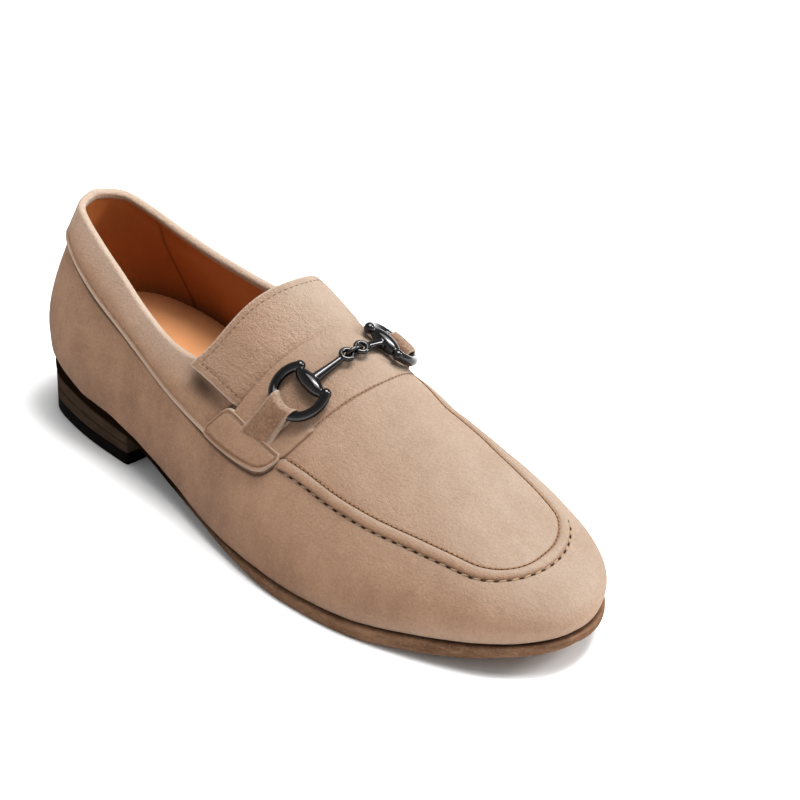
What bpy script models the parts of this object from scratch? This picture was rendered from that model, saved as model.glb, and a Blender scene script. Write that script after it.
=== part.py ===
"""A suede bit loafer for the right foot, with every piece cut from one last.

The shoe stands on the floor with its toe along +X, its inner side along +Y and +Z up.
All sizes are millimetres, and they become metres when a mesh is made.
The last runs from the heel's back (along 0 %) to the toe's tip (along 100 %).
"""
import bpy
import bmesh
import numpy as np

MM = 0.001
GAP = 0.3                    # clearance between neighbouring pieces

# Driving sizes of the last and the sole
LENGTH = 300.0               # outsole, heel back to toe tip
BALL_WIDTH = 102.0           # outsole across the ball of the foot
HEEL_HEIGHT = 18.0           # heel block under the back of the heel
INSTEP_HEIGHT = 80.0         # crest of the instep above the floor, under the bit
WALL = 2.0                   # suede and lining of the upper
HEEL_BULGE = 2.1             # how far the upper's back stands behind the outsole
OUTER_HALF_WIDTH = 54.1      # widest reach of the sole to the outer side
INNER_HALF_WIDTH = 48.2      # widest reach of the sole to the inner side

# Heel block
HEEL_BREAST = 22.5           # front face of the heel, percent of the length
TOP_LIFT = 5.5               # black rubber
HEEL_TAPER = 1.6             # how far the heel's floor edge lies inside the sole's edge

# Pieces laid on the upper
BAND_THICK = 1.3
TONGUE_THICK = 1.8
STRAP_THICK = 1.6
TAB_THICK = 1.5
ROLL_HEIGHT = 1.4            # raised apron seam
ROLL_HALF_WIDTH = 2.4
BUTT_GAP = 0.5               # between pieces that lie edge to edge on the upper

# Snaffle bit
RING_LIFT = 4.9              # the rings' mid plane above the upper
LINK_LIFT = 4.6              # the link's middle above the upper
RING_RADIUS = 11.0
RING_WIRE = 1.9              # wire radius
BARREL_CHORD = 5.2           # from the ring's centre to the barrel
BARREL_RADIUS = 2.8
BARREL_HALF = 9.4
BAR_THICK = 1.5
BAR_THIN = 0.9
EYE_AT = 3.7                 # from the link's middle to each eye's middle
EYE_RADIUS = 2.4
EYE_WIRE = 0.85
LINK_RISE = 1.8
LINK_WIRE = 0.6

# Places on the instep: percent of the length, and share of the way up to the crest
RING_SEAT = {"lateral": (55.0, 0.69), "medial": (55.4, 0.76)}
LINK_SEAT = (56.2, 0.97)

# Loop that ties a ring down to its tab
LOOP_HALF_WIDTH = 6.0
LOOP_SLOT = 51.6             # the slot above the tab, percent of the length
LOOP_WRAP = 0.6              # leather around the wire
LOOP_TAIL = 1.5              # both layers together at the slot

# Mesh fineness
STATIONS = 34
WALL_ROWS = 6
TOP_ROWS = 5

SIGN = {"lateral": -1.0, "medial": 1.0}


def table(columns, *rows):
    """A section table as named columns, one entry for each section."""
    return dict(zip(columns.split(), np.array(rows, float).T))


# Sole: half widths in percent of the ball width, tread in percent of the heel height, rest in mm
SOLE = table(
    "along lateral medial tread",
    (0.0, 0.0, 0.0, 100.0),
    (2.5, 22.0, 21.1, 98.5),
    (8.0, 28.9, 29.4, 94.0),
    (16.0, 32.4, 31.4, 86.0),
    (25.0, 33.8, 30.4, 74.0),
    (36.0, 38.7, 27.9, 42.0),
    (46.0, 45.9, 29.9, 18.0),
    (56.0, 51.4, 36.3, 2.0),
    (60.0, 52.6, 39.8, 0.0),
    (65.0, 52.9, 43.5, 0.0),
    (75.0, 50.0, 47.2, 0.0),
    (82.0, 43.9, 45.4, 11.0),
    (90.0, 34.3, 38.6, 29.0),
    (96.0, 23.0, 25.9, 50.0),
    (100.0, 0.0, 0.0, 64.0),
)

# Feather line, where the upper meets the sole: height, inset from the sole's edge, insole thickness
FEATHER = table(
    "along height tuck insole bevel",
    (0.0, 27.0, 0.4, 12.0, 0.6),
    (10.0, 24.3, 0.4, 15.0, 0.6),
    (23.0, 17.8, 0.4, 19.0, 2.0),
    (33.0, 12.4, 0.5, 16.5, 3.0),
    (43.0, 7.9, 0.7, 10.0, 3.0),
    (53.0, 5.6, 1.2, 6.0, 2.0),
    (62.0, 5.2, 1.9, 4.5, 0.8),
    (75.0, 6.2, 2.0, 4.0, 0.8),
    (87.0, 9.8, 2.0, 4.0, 0.8),
    (100.0, 16.2, 2.0, 4.0, 0.8),
)

# Ridge of the last: cone top behind, then the crest of the instep down to the toe
RIDGE = table(
    "along x half mid height",
    (0.0, 12.0, 0.0, 1.5, 135.0),
    (4.0, 14.0, 6.5, 2.0, 135.0),
    (12.0, 29.0, 10.5, 2.5, 135.0),
    (22.0, 55.0, 12.0, 2.5, 134.0),
    (30.0, 80.0, 11.0, 2.5, 131.5),
    (36.0, 100.0, 7.0, 3.5, 126.5),
    (42.0, 119.0, 0.0, 6.0, 120.5),
    (48.0, 138.0, 0.0, 7.0, 111.0),
    (54.0, 157.0, 0.0, 7.5, 100.5),
    (60.0, 177.0, 0.0, 8.0, 90.0),
    (68.0, 202.0, 0.0, 8.0, 77.5),
    (76.0, 224.0, 0.0, 7.5, 68.1),
    (84.0, 244.0, 0.0, 6.5, 59.6),
    (90.0, 256.0, 0.0, 5.5, 54.0),
    (95.0, 264.0, 0.0, 4.6, 50.0),
    (100.0, 268.0, 0.0, 4.0, 48.1),
)

# Fullness of each section: how the wall leaves the sole, and how the top bends over
FULLNESS = table(
    "along rise_lateral rise_medial out_lateral out_medial drop reach_lateral reach_medial",
    (0.0, 33.0, 33.0, 9.0, 9.0, 36.0, 3.0, 3.0),
    (8.0, 33.0, 33.0, 10.0, 11.0, 36.0, 4.0, 4.0),
    (20.0, 34.0, 34.0, 7.0, 7.0, 36.0, 7.0, 7.0),
    (30.0, 35.0, 38.0, 4.5, 5.0, 28.0, 12.0, 14.0),
    (36.0, 36.0, 46.0, 3.0, 4.0, 15.0, 16.0, 22.0),
    (42.0, 38.0, 57.0, 3.0, 5.0, 0.5, 20.0, 29.5),
    (50.0, 42.0, 56.0, 3.0, 5.0, 0.0, 25.0, 25.0),
    (56.0, 43.0, 58.5, 4.2, 5.2, 0.0, 27.0, 24.5),
    (62.0, 44.0, 64.5, 5.1, 6.1, 0.0, 28.0, 26.8),
    (68.0, 45.0, 68.0, 5.5, 6.5, 0.0, 28.0, 27.0),
    (80.0, 50.0, 66.0, 5.5, 8.5, 0.0, 27.0, 26.5),
    (92.0, 57.0, 62.0, 6.0, 9.0, 0.0, 24.5, 24.5),
    (100.0, 58.0, 58.0, 6.5, 6.5, 0.0, 22.0, 22.0),
)

# Topline and the seam under the collar band, in percent of the instep height
TOPLINE = table(
    "along rim_lateral rim_medial seam_lateral seam_medial",
    (0.0, 113.8, 113.8, 96.2, 96.2),
    (4.0, 113.1, 112.5, 95.0, 95.0),
    (10.0, 110.0, 102.5, 87.5, 89.0),
    (18.0, 102.0, 95.0, 77.5, 82.0),
    (26.0, 89.5, 91.0, 68.0, 75.0),
    (34.0, 81.2, 89.5, 58.0, 67.0),
    (40.0, 82.0, 92.0, 53.5, 61.0),
    (43.0, 91.0, 100.0, 52.0, 59.0),
    (45.5, 130.0, 130.0, 51.5, 59.0),
    (50.0, 130.0, 130.0, 51.0, 58.5),
    (53.0, 130.0, 130.0, 51.5, 59.0),
    (55.0, 130.0, 130.0, 54.0, 61.5),
    (56.2, 130.0, 130.0, 58.0, 65.5),
    (57.0, 130.0, 130.0, 62.0, 69.0),
)
THROAT = 45.5                # the opening ends here, under the tongue

# Apron: reach of its seam to each side, in millimetres from the mid line of the sole
APRON = table(
    "along lateral medial",
    (56.0, 37.0, 35.0),
    (58.0, 36.5, 32.5),
    (61.0, 36.0, 29.5),
    (65.0, 35.5, 28.5),
    (72.0, 33.2, 30.0),
    (80.0, 27.8, 30.2),
    (87.0, 22.0, 29.0),
)
APRON_START = 57.2
APRON_FRONT = 277.0          # seam across the toe, from the heel's back
APRON_CORNER = 258.0         # where the front corners begin to round
APRON_SQUARE = 2.25          # 2 is an ellipse, more is squarer
APRON_SKEW = 0.12            # the inner corner lies further back

# Tab at each end of the strap: lower and upper edge on the outer side, millimetres above the floor
TAB = table(
    "along low high",
    (42.4, 42.4, 45.0),
    (43.4, 41.7, 49.0),
    (46.0, 41.0, 56.4),
    (50.0, 40.8, 54.6),
    (53.0, 41.2, 52.8),
    (55.0, 43.0, 51.6),
    (56.2, 46.3, 50.9),
    (56.8, 48.6, 50.5),
)
TAB_RAISE = {"lateral": 0.0, "medial": 6.0}

# Tongue: height of its side edges above the floor
TONGUE_EDGE = table(
    "along lateral medial",
    (36.0, 63.4, 71.0),
    (41.4, 60.6, 68.2),
    (47.0, 57.4, 65.0),
)
BAND_END = 42.1              # the collar band's lower front corner, percent of the length
BAND_LEAN = 3.4              # its upper front corner lies this much further forward
TONGUE_TOP = 37.1            # top edge at the sides, percent of the length
TONGUE_TOP_BOW = 6.6         # and how much further forward it lies at the crest
STRAP_REAR = 46.4
STRAP_REAR_BOW = 5.6
STRAP_FRONT = 56.7
STRAP_FRONT_BOW = 4.4


def natural(xs, ys):
    """Natural cubic curve through a column."""
    step = np.diff(xs)
    count = len(xs)
    matrix = np.eye(count)
    right = np.zeros(count)
    for i in range(1, count - 1):
        matrix[i, i - 1:i + 2] = step[i - 1], 2 * (step[i - 1] + step[i]), step[i]
        right[i] = 6 * ((ys[i + 1] - ys[i]) / step[i] - (ys[i] - ys[i - 1]) / step[i - 1])
    bend = np.linalg.solve(matrix, right)

    def curve(x):
        i = np.clip(np.searchsorted(xs, x) - 1, 0, count - 2)
        d = step[i]
        a = (xs[i + 1] - x) / d
        b = 1 - a
        return a * ys[i] + b * ys[i + 1] + ((a**3 - a) * bend[i] + (b**3 - b) * bend[i + 1]) * d * d / 6
    return curve


def steady(xs, ys):
    """Cubic curve through a column that never swings past its rows, so flat runs stay flat."""
    step = np.diff(xs)
    rate = np.diff(ys) / step
    slope = np.zeros(len(xs))
    slope[0] = rate[0]
    slope[-1] = rate[-1]
    for i in range(1, len(xs) - 1):
        if rate[i - 1] * rate[i] > 0:
            slope[i] = 2 * rate[i - 1] * rate[i] / (rate[i - 1] + rate[i])

    def curve(x):
        i = np.clip(np.searchsorted(xs, x) - 1, 0, len(xs) - 2)
        d = step[i]
        t = np.clip((x - xs[i]) / d, 0, 1)
        start = (1 + 2 * t) * (1 - t)**2 * ys[i] + t * (1 - t)**2 * d * slope[i]
        return start + t * t * (3 - 2 * t) * ys[i + 1] - t * t * (1 - t) * d * slope[i + 1]
    return curve


def station(along):
    """Even parameter round the sole's edge, so heel and toe come out round."""
    return np.arccos(1 - np.clip(np.asarray(along, float), 0, 100) / 50) / np.pi


def along_at(s):
    return 50 * (1 - np.cos(np.pi * np.asarray(s, float)))


def column(rows, name, kind=steady):
    curve = kind(station(rows["along"]), rows[name])
    return lambda along: curve(station(along))


half_width = {side: column(SOLE, side, natural) for side in SIGN}
tread_share = column(SOLE, "tread")
feather = column(FEATHER, "height")
tuck = column(FEATHER, "tuck")
insole_rise = column(FEATHER, "insole")
bevel = column(FEATHER, "bevel")
ridge = {name: column(RIDGE, name) for name in ("x", "half", "mid", "height")}
full = {name: column(FULLNESS, name) for name in FULLNESS if name != "along"}
topline = {name: column(TOPLINE, name) for name in TOPLINE if name != "along"}
apron_reach = {side: column(APRON, side) for side in SIGN}
tab_edge = {name: column(TAB, name) for name in ("low", "high")}
tongue_edge = {side: column(TONGUE_EDGE, side) for side in SIGN}


def tread(along):
    return HEEL_HEIGHT * tread_share(along) / 100


def edge(side, along, inset=0.0):
    """Sole outline in plan, moved in by an inset, with its outward direction."""
    def point(s):
        at = along_at(np.clip(s, 0, 1))
        return np.stack([LENGTH * at / 100, SIGN[side] * BALL_WIDTH * half_width[side](at) / 100], -1)
    s = station(along)
    small = 1e-4
    run = point(s + small) - point(s - small)
    run /= np.linalg.norm(run, axis=-1, keepdims=True) + 1e-12
    out = np.stack([-run[..., 1], run[..., 0]], -1) * SIGN[side]
    out = np.where((s < small)[..., None], [-1.0, 0.0], out)
    out = np.where((s > 1 - small)[..., None], [1.0, 0.0], out)
    return point(s) - out * np.asarray(inset)[..., None], out


def handles(side, along):
    """The four handles of a section's curve, from the feather line to the ridge."""
    plan, out = edge(side, along, tuck(along))
    foot = np.concatenate([plan, feather(along)[..., None]], -1)
    top_y = ridge["mid"](along) + SIGN[side] * ridge["half"](along)
    top = np.stack([ridge["x"](along), top_y, INSTEP_HEIGHT * ridge["height"](along) / 100], -1)
    tall = top[..., 2] - foot[..., 2]
    low_rise = tall * full["rise_" + side](along) / 100
    low = foot + np.concatenate([out * full["out_" + side](along)[..., None], low_rise[..., None]], -1)
    away = (foot - top)[..., :2]
    away /= np.linalg.norm(away, axis=-1, keepdims=True) + 1e-9
    reach = full["reach_" + side](along)
    small = 0.1
    ahead = np.clip(along + small, 0, 100)
    behind = np.clip(along - small, 0, 100)
    fall = INSTEP_HEIGHT * (ridge["height"](ahead) - ridge["height"](behind)) / 100
    slope = np.clip(fall / (ridge["x"](ahead) - ridge["x"](behind)), -0.6, 0.2)
    sink = away[..., 0] * reach * slope - tall * full["drop"](along) / 100
    high = top + np.stack([away[..., 0] * reach, away[..., 1] * reach, sink], -1)
    return foot, low, high, top


def last(side, along, v):
    """A point of the last: v is 0 on the feather line and 1 on the ridge."""
    along, v = np.broadcast_arrays(np.asarray(along, float), np.asarray(v, float))
    foot, low, high, top = handles(side, along)
    v = v[..., None]
    return foot * (1 - v)**3 + 3 * low * v * (1 - v)**2 + 3 * high * v * v * (1 - v) + top * v**3


def outward(side, along, v):
    """The last's outward direction."""
    along, v = np.broadcast_arrays(np.asarray(along, float), np.asarray(v, float))
    s = station(along)
    small = 2e-3
    ahead = last(side, along_at(np.clip(s + small, 0, 1)), v)
    behind = last(side, along_at(np.clip(s - small, 0, 1)), v)
    above = last(side, along, np.clip(v + small, 0, 1))
    below = last(side, along, np.clip(v - small, 0, 1))
    face = -SIGN[side] * np.cross(ahead - behind, above - below)
    return face / (np.linalg.norm(face, axis=-1, keepdims=True) + 1e-12)


def lifted(side, along, v, height):
    """A point that stands off the last by a height."""
    return last(side, along, v) + outward(side, along, v) * np.asarray(height)[..., None]


def reach_v(side, along, test):
    """The lowest v of each section at which a test turns true."""
    low = np.zeros(np.shape(along))
    high = np.ones(np.shape(along))
    for _ in range(30):
        mid = (low + high) / 2
        hit = test(last(side, along, mid))
        high = np.where(hit, mid, high)
        low = np.where(hit, low, mid)
    return high


def v_at_height(side, along, height):
    return reach_v(side, along, lambda p: p[..., 2] >= height)


def v_rim(side, along):
    """Topline of the collar, running up to the crest at the throat."""
    height = INSTEP_HEIGHT * topline["rim_" + side](along) / 100
    return np.where(along >= THROAT, 1.0, v_at_height(side, along, height))


def inside_apron(p):
    along = 100 * p[..., 0] / LENGTH
    lateral = apron_reach["lateral"](along)
    medial = apron_reach["medial"](along)
    middle = (medial - lateral) / 2
    across = np.abs(p[..., 1] - middle) / ((medial + lateral) / 2)
    front = p[..., 0] + APRON_SKEW * (p[..., 1] - middle)
    ahead = np.clip((front - APRON_CORNER) / (APRON_FRONT - APRON_CORNER), 0, None)
    return across**APRON_SQUARE + ahead**APRON_SQUARE <= 1


def v_seam(side, along):
    """One line of seams: under the collar band, round the tab and round the apron."""
    height = INSTEP_HEIGHT * topline["seam_" + side](along) / 100
    behind = v_at_height(side, along, height)
    return np.where(along < APRON_START, behind, reach_v(side, along, inside_apron))


def bmesh_object(name, mesh_data, used, smooth=40):
    """A named object from a bmesh, in metres, faces outward, on the shoe's own empty."""
    bmesh.ops.remove_doubles(mesh_data, verts=mesh_data.verts, dist=0.01)
    bmesh.ops.recalc_face_normals(mesh_data, faces=mesh_data.faces)
    bmesh.ops.scale(mesh_data, vec=(MM, MM, MM), verts=mesh_data.verts)
    mesh = bpy.data.meshes.new(name)
    mesh_data.to_mesh(mesh)
    mesh_data.free()
    mesh.shade_smooth()
    mesh.set_sharp_from_angle(angle=np.radians(smooth))
    mesh.materials.append(used)
    obj = bpy.data.objects.new(name, mesh)
    bpy.context.scene.collection.objects.link(obj)
    obj.parent = shoe
    return obj


def grid_faces(mesh_data, points, closed=False):
    """Quads over an array of points, with the rows' ends joined where asked."""
    verts = [[mesh_data.verts.new(p) for p in row] for row in points]
    count = len(verts)
    for i in range(count if closed else count - 1):
        here = verts[i]
        there = verts[(i + 1) % count]
        for j in range(len(here) - 1):
            mesh_data.faces.new((here[j], here[j + 1], there[j + 1], there[j]))
    return verts


def rim_faces(mesh_data, first, second):
    for i in range(len(first) - 1):
        mesh_data.faces.new((first[i], first[i + 1], second[i + 1], second[i]))


def shell(name, under, over, used, sleeve=False):
    """A closed sheet between an inner and an outer array of points; a sleeve's rows are rings."""
    mesh_data = bmesh.new()
    low = grid_faces(mesh_data, under)
    high = grid_faces(mesh_data, over)
    rim_faces(mesh_data, low[0], high[0])
    rim_faces(mesh_data, low[-1], high[-1])
    if not sleeve:
        rim_faces(mesh_data, [row[0] for row in low], [row[0] for row in high])
        rim_faces(mesh_data, [row[-1] for row in low], [row[-1] for row in high])
    return bmesh_object(name, mesh_data, used)


def finish(name, colour, roughness, metallic=0.0):
    material = bpy.data.materials.new(name)
    material.use_nodes = True
    shader = material.node_tree.nodes["Principled BSDF"]
    shader.inputs["Base Color"].default_value = (*colour, 1.0)
    shader.inputs["Roughness"].default_value = roughness
    shader.inputs["Metallic"].default_value = metallic
    return material


def even_alongs(first, last_one, count):
    """Places along the foot that crowd towards heel and toe."""
    return along_at(np.linspace(station(first), station(last_one), count))


# Sole and heel

def ring_rows(alongs, levels):
    """Closed rings of sole edge points, one for each (inset, height) level."""
    rings = []
    for inset, height in levels:
        lateral = edge("lateral", alongs, inset)[0]
        medial = edge("medial", alongs, inset)[0]
        tall = np.broadcast_to(height, np.shape(alongs))
        rings.append((np.column_stack([lateral, tall]), np.column_stack([medial, tall])))
    return rings


def slab(name, alongs, levels, used):
    """A solid between the sole's two edges, with a side step for each level from bottom to top."""
    mesh_data = bmesh.new()
    rings = ring_rows(alongs, levels)
    sides = [grid_faces(mesh_data, np.array([ring[k] for ring in rings])) for k in (0, 1)]
    for level in (0, -1):
        rim_faces(mesh_data, sides[0][level], sides[1][level])
    for end in (0, -1):
        rim_faces(mesh_data, [row[end] for row in sides[0]], [row[end] for row in sides[1]])
    return bmesh_object(name, mesh_data, used)


def make_outsole(leather):
    alongs = even_alongs(0, 100, STATIONS + 1)
    top = feather(alongs) - GAP
    bottom = tread(alongs)
    third = (top - bottom) / 3
    levels = [
        (bevel(alongs), bottom),
        (0.2 * bevel(alongs), bottom + third),
        (np.zeros_like(alongs), top - third),
        (0.5 + np.zeros_like(alongs), top),
    ]
    slab("outsole", alongs, levels, leather)


def make_heel(leather, rubber):
    alongs = even_alongs(0, HEEL_BREAST, 16)
    under_sole = tread(alongs) - GAP
    middle = (TOP_LIFT + under_sole) / 2
    floor = np.zeros_like(alongs)

    def inset(height):
        return 0.8 + HEEL_TAPER * (1 - height / HEEL_HEIGHT)
    layers = [
        ("heel_top_lift", floor, floor + TOP_LIFT, rubber),
        ("heel_lift_1", floor + TOP_LIFT + GAP, middle, leather),
        ("heel_lift_2", middle + GAP, under_sole, leather),
    ]
    for name, low, high, used in layers:
        slab(name, alongs, [(inset(low), low), (inset(high), high)], used)


def make_insole(leather):
    alongs = even_alongs(0, 100, STATIONS + 1)
    inset = tuck(alongs) + WALL + 0.8
    base = feather(alongs) + GAP
    crown = feather(alongs) + insole_rise(alongs)
    slab("insole", alongs, [(inset, base), (inset, crown - 1.0), (inset + 0.8, crown)], leather)


# Upper and what is laid on it

def seam_rows(side, alongs):
    """Rows of v from the feather line over the seam's roll to the rim, with the roll's height."""
    seam = v_seam(side, alongs)
    rim = v_rim(side, alongs)
    seam = np.minimum(seam, rim - 0.12)
    small = 1e-3
    speed = np.linalg.norm(last(side, alongs, seam + small) - last(side, alongs, seam), axis=-1) / small
    half = ROLL_HALF_WIDTH / speed
    fade = np.clip((alongs - APRON_START) / 3, 0, 1)
    rows = [((seam - half) * k / WALL_ROWS, 0 * half) for k in range(WALL_ROWS)]
    for k in (-1.0, -0.5, 0.0, 0.5, 1.0):
        rows.append((seam + k * half, ROLL_HEIGHT * fade * np.cos(k * np.pi / 2)))
    start = seam + half
    rows += [(start + (rim - start) * (k + 1) / TOP_ROWS, 0 * half) for k in range(TOP_ROWS)]
    return rows


def make_upper(suede):
    behind = even_alongs(0, APRON_START - 0.4, STATIONS // 2 + 2)
    alongs = np.concatenate([behind, even_alongs(APRON_START + 0.4, 100, STATIONS // 2 + 1)])
    mesh_data = bmesh.new()
    for side in SIGN:
        rows = seam_rows(side, alongs)
        points = np.array([lifted(side, alongs, v, rise) for v, rise in rows])
        grid_faces(mesh_data, points)
    upper = bmesh_object("upper", mesh_data, suede)
    wall = upper.modifiers.new("wall", "SOLIDIFY")
    wall.thickness = WALL * MM
    wall.offset = -1.0
    return upper


def band_limits(side, alongs):
    """Lower and upper v of the collar band, which stops short of the tongue."""
    seam = v_seam(side, alongs)
    rim = v_rim(side, alongs)
    under_tongue = v_at_height(side, alongs, tongue_edge[side](alongs) - BUTT_GAP)
    return seam, np.where(alongs > TONGUE_TOP - 2.5, np.minimum(rim, under_tongue), rim)


def make_collar_band(suede):
    ends = np.linspace(0, 1, 6)
    layers = []
    for height in (GAP, GAP + BAND_THICK):
        columns = []
        for side in SIGN:
            part = []
            for share in ends:
                stop = BAND_END + BAND_LEAN * np.clip((share - 0.2) / 0.75, 0, 1)
                alongs = even_alongs(0, stop, 26)
                low, high = band_limits(side, alongs)
                part.append(lifted(side, alongs, low + (high - low) * share, height))
            part = np.array(part).transpose(1, 0, 2)
            columns.append(part[::-1] if side == "lateral" else part[1:])
        layers.append(np.concatenate(columns))
    shell("collar_band", *layers, suede)


def crossing(first_along, last_along, low_v, count_along, count_across, heights):
    """Arrays of points over the instep, from the outer edge over the crest to the inner edge.

    first_along and last_along give the rear and front edge for a share of the way up to the crest,
    and low_v gives the lower end on each side for a place along the foot.
    """
    layers = []
    for height in heights:
        rows = []
        for part in np.linspace(0, 1, count_along):
            row = []
            for side in SIGN:
                share = np.linspace(0, 1, count_across)
                alongs = first_along(share) + (last_along(share) - first_along(share)) * part
                low = low_v(side, alongs)
                points = lifted(side, alongs, low + (1 - low) * share, height)
                row.append(points if side == "lateral" else points[-2::-1])
            rows.append(np.concatenate(row))
        layers.append(np.array(rows))
    return layers


def strap_rear(share):
    return STRAP_REAR + STRAP_REAR_BOW * share**0.8


def strap_front(share):
    return STRAP_FRONT + STRAP_FRONT_BOW * share**0.55


def make_tongue(suede):
    def top_edge(share):
        return TONGUE_TOP + TONGUE_TOP_BOW * share**0.85

    def front_edge(share):
        return strap_rear(share) - 100 * BUTT_GAP / LENGTH

    def low(side, alongs):
        return v_at_height(side, alongs, tongue_edge[side](alongs))
    shell("tongue", *crossing(top_edge, front_edge, low, 9, 13, (GAP, GAP + TONGUE_THICK)), suede)


def make_strap(suede):
    def low(side, alongs):
        return v_at_height(side, alongs, tab_edge["high"](alongs) + TAB_RAISE[side] + BUTT_GAP)
    heights = (GAP, GAP + STRAP_THICK)
    shell("saddle_strap", *crossing(strap_rear, strap_front, low, 6, 14, heights), suede)


def make_tab(side, suede):
    alongs = np.concatenate([TAB["along"][:1], even_alongs(43.0, 55.0, 8), TAB["along"][-2:]])
    low = v_at_height(side, alongs, tab_edge["low"](alongs) + TAB_RAISE[side])
    high = v_at_height(side, alongs, tab_edge["high"](alongs) + TAB_RAISE[side])
    shares = np.linspace(0, 1, 4)
    layers = []
    for height in (GAP, GAP + TAB_THICK):
        layers.append(np.array([lifted(side, alongs, low + (high - low) * k, height) for k in shares]))
    shell("tab_" + side, *layers, suede)


# Snaffle bit and the loops that hold it

class Seat:
    """Flat frame on the last: u to the toe, w to the crest, n outward."""

    def __init__(self, side, along, v, lift):
        self.centre = lifted(side, along, v, lift)
        self.n = outward(side, along, v)
        ahead = lifted(side, along + 0.5, v, lift) - lifted(side, along - 0.5, v, lift)
        ahead -= self.n * (ahead @ self.n)
        self.u = ahead / np.linalg.norm(ahead)
        self.w = np.cross(self.u, self.n) * SIGN[side]

    def at(self, u, w, n=0.0):
        return self.centre + self.u * u + self.w * w + self.n * n

    def read(self, point):
        away = point - self.centre
        return away @ self.u, away @ self.w, away @ self.n


def ring_seat(side):
    return Seat(side, *RING_SEAT[side], RING_LIFT)


def link_axes():
    """Middle of the link, its direction across the foot and its upward direction."""
    seat = Seat("lateral", *LINK_SEAT, LINK_LIFT)
    across = ring_seat("medial").centre - ring_seat("lateral").centre
    across -= seat.n * (across @ seat.n)
    return seat.centre, across / np.linalg.norm(across), seat.n


def tube(mesh_data, points, radii, ups, sides, closed=False):
    """A round tube along points, each with its own radius and up direction."""
    points = np.asarray(points)
    count = len(points)
    rows = []
    for i in range(count):
        before = points[(i - 1) % count] if closed else points[max(i - 1, 0)]
        after = points[(i + 1) % count] if closed else points[min(i + 1, count - 1)]
        run = (after - before) / np.linalg.norm(after - before)
        up = ups[i] - run * (ups[i] @ run)
        up /= np.linalg.norm(up)
        beside = np.cross(run, up)
        turn = np.linspace(0, 2 * np.pi, sides + 1)
        rows.append([points[i] + radii[i] * (np.cos(t) * up + np.sin(t) * beside) for t in turn])
    verts = grid_faces(mesh_data, rows, closed)
    if not closed:
        mesh_data.faces.new([v for v in verts[0][:-1]])
        mesh_data.faces.new([v for v in verts[-1][:-1]])


def fused(name, builders, metal):
    """One casting from several overlapping round forms."""
    pieces = []
    for k, builder in enumerate(builders):
        mesh_data = bmesh.new()
        builder(mesh_data)
        pieces.append(bmesh_object(name if k == 0 else f"{name}_form_{k}", mesh_data, metal))
    body = pieces[0]
    for piece in pieces[1:]:
        join = body.modifiers.new("join", "BOOLEAN")
        join.operation = "UNION"
        join.solver = "EXACT"
        join.object = piece
    bpy.context.view_layer.update()
    whole = bpy.data.meshes.new_from_object(body.evaluated_get(bpy.context.evaluated_depsgraph_get()))
    body.modifiers.clear()
    body.data = whole
    whole.name = name
    for piece in pieces[1:]:
        bpy.data.objects.remove(piece)


def make_casting(side, metal):
    """Ring, egg barrel, bar and eye, cast in one."""
    frame = ring_seat(side)
    middle, across, up = link_axes()
    eye = middle + SIGN[side] * EYE_AT * across
    half_gap = np.arccos(BARREL_CHORD / RING_RADIUS)

    def ring(mesh_data):
        turns = np.linspace(half_gap, 2 * np.pi - half_gap, 21)
        points = [frame.at(RING_RADIUS * np.sin(t), RING_RADIUS * np.cos(t)) for t in turns]
        tube(mesh_data, points, [RING_WIRE] * len(points), [frame.n] * len(points), 10)

    def barrel(mesh_data):
        shares = np.linspace(-1, 1, 9)
        points = [frame.at(BARREL_HALF * k, BARREL_CHORD) for k in shares]
        radii = [BARREL_RADIUS * (1 - 0.42 * k**4 - 0.12 * k * k) for k in shares]
        tube(mesh_data, points, radii, [frame.n] * len(points), 12)

    def bar(mesh_data):
        start = frame.at(0, BARREL_CHORD)
        stop = eye - (eye - start) / np.linalg.norm(eye - start) * EYE_RADIUS
        shares = np.linspace(0, 1, 4)
        radii = BAR_THICK + (BAR_THIN - BAR_THICK) * shares
        tube(mesh_data, [start + (stop - start) * k for k in shares], radii, [frame.n] * 4, 10)

    def ring_eye(mesh_data):
        beside = np.cross(across, up)
        turns = np.linspace(0, 2 * np.pi, 14, endpoint=False)
        points = [eye + EYE_RADIUS * (np.cos(t) * across + np.sin(t) * beside) for t in turns]
        tube(mesh_data, points, [EYE_WIRE] * 14, [up] * 14, 8, closed=True)
    fused("bit_" + side, [barrel, ring, bar, ring_eye], metal)


def make_link(metal):
    middle, across, up = link_axes()
    beside = np.cross(across, up)
    turns = np.linspace(0, 2 * np.pi, 18, endpoint=False)
    points = [middle + EYE_AT * np.cos(t) * across + LINK_RISE * np.sin(t) * up for t in turns]
    mesh_data = bmesh.new()
    tube(mesh_data, points, [LINK_WIRE] * 18, [beside] * 18, 8, closed=True)
    bmesh_object("bit_link", mesh_data, metal)


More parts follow.
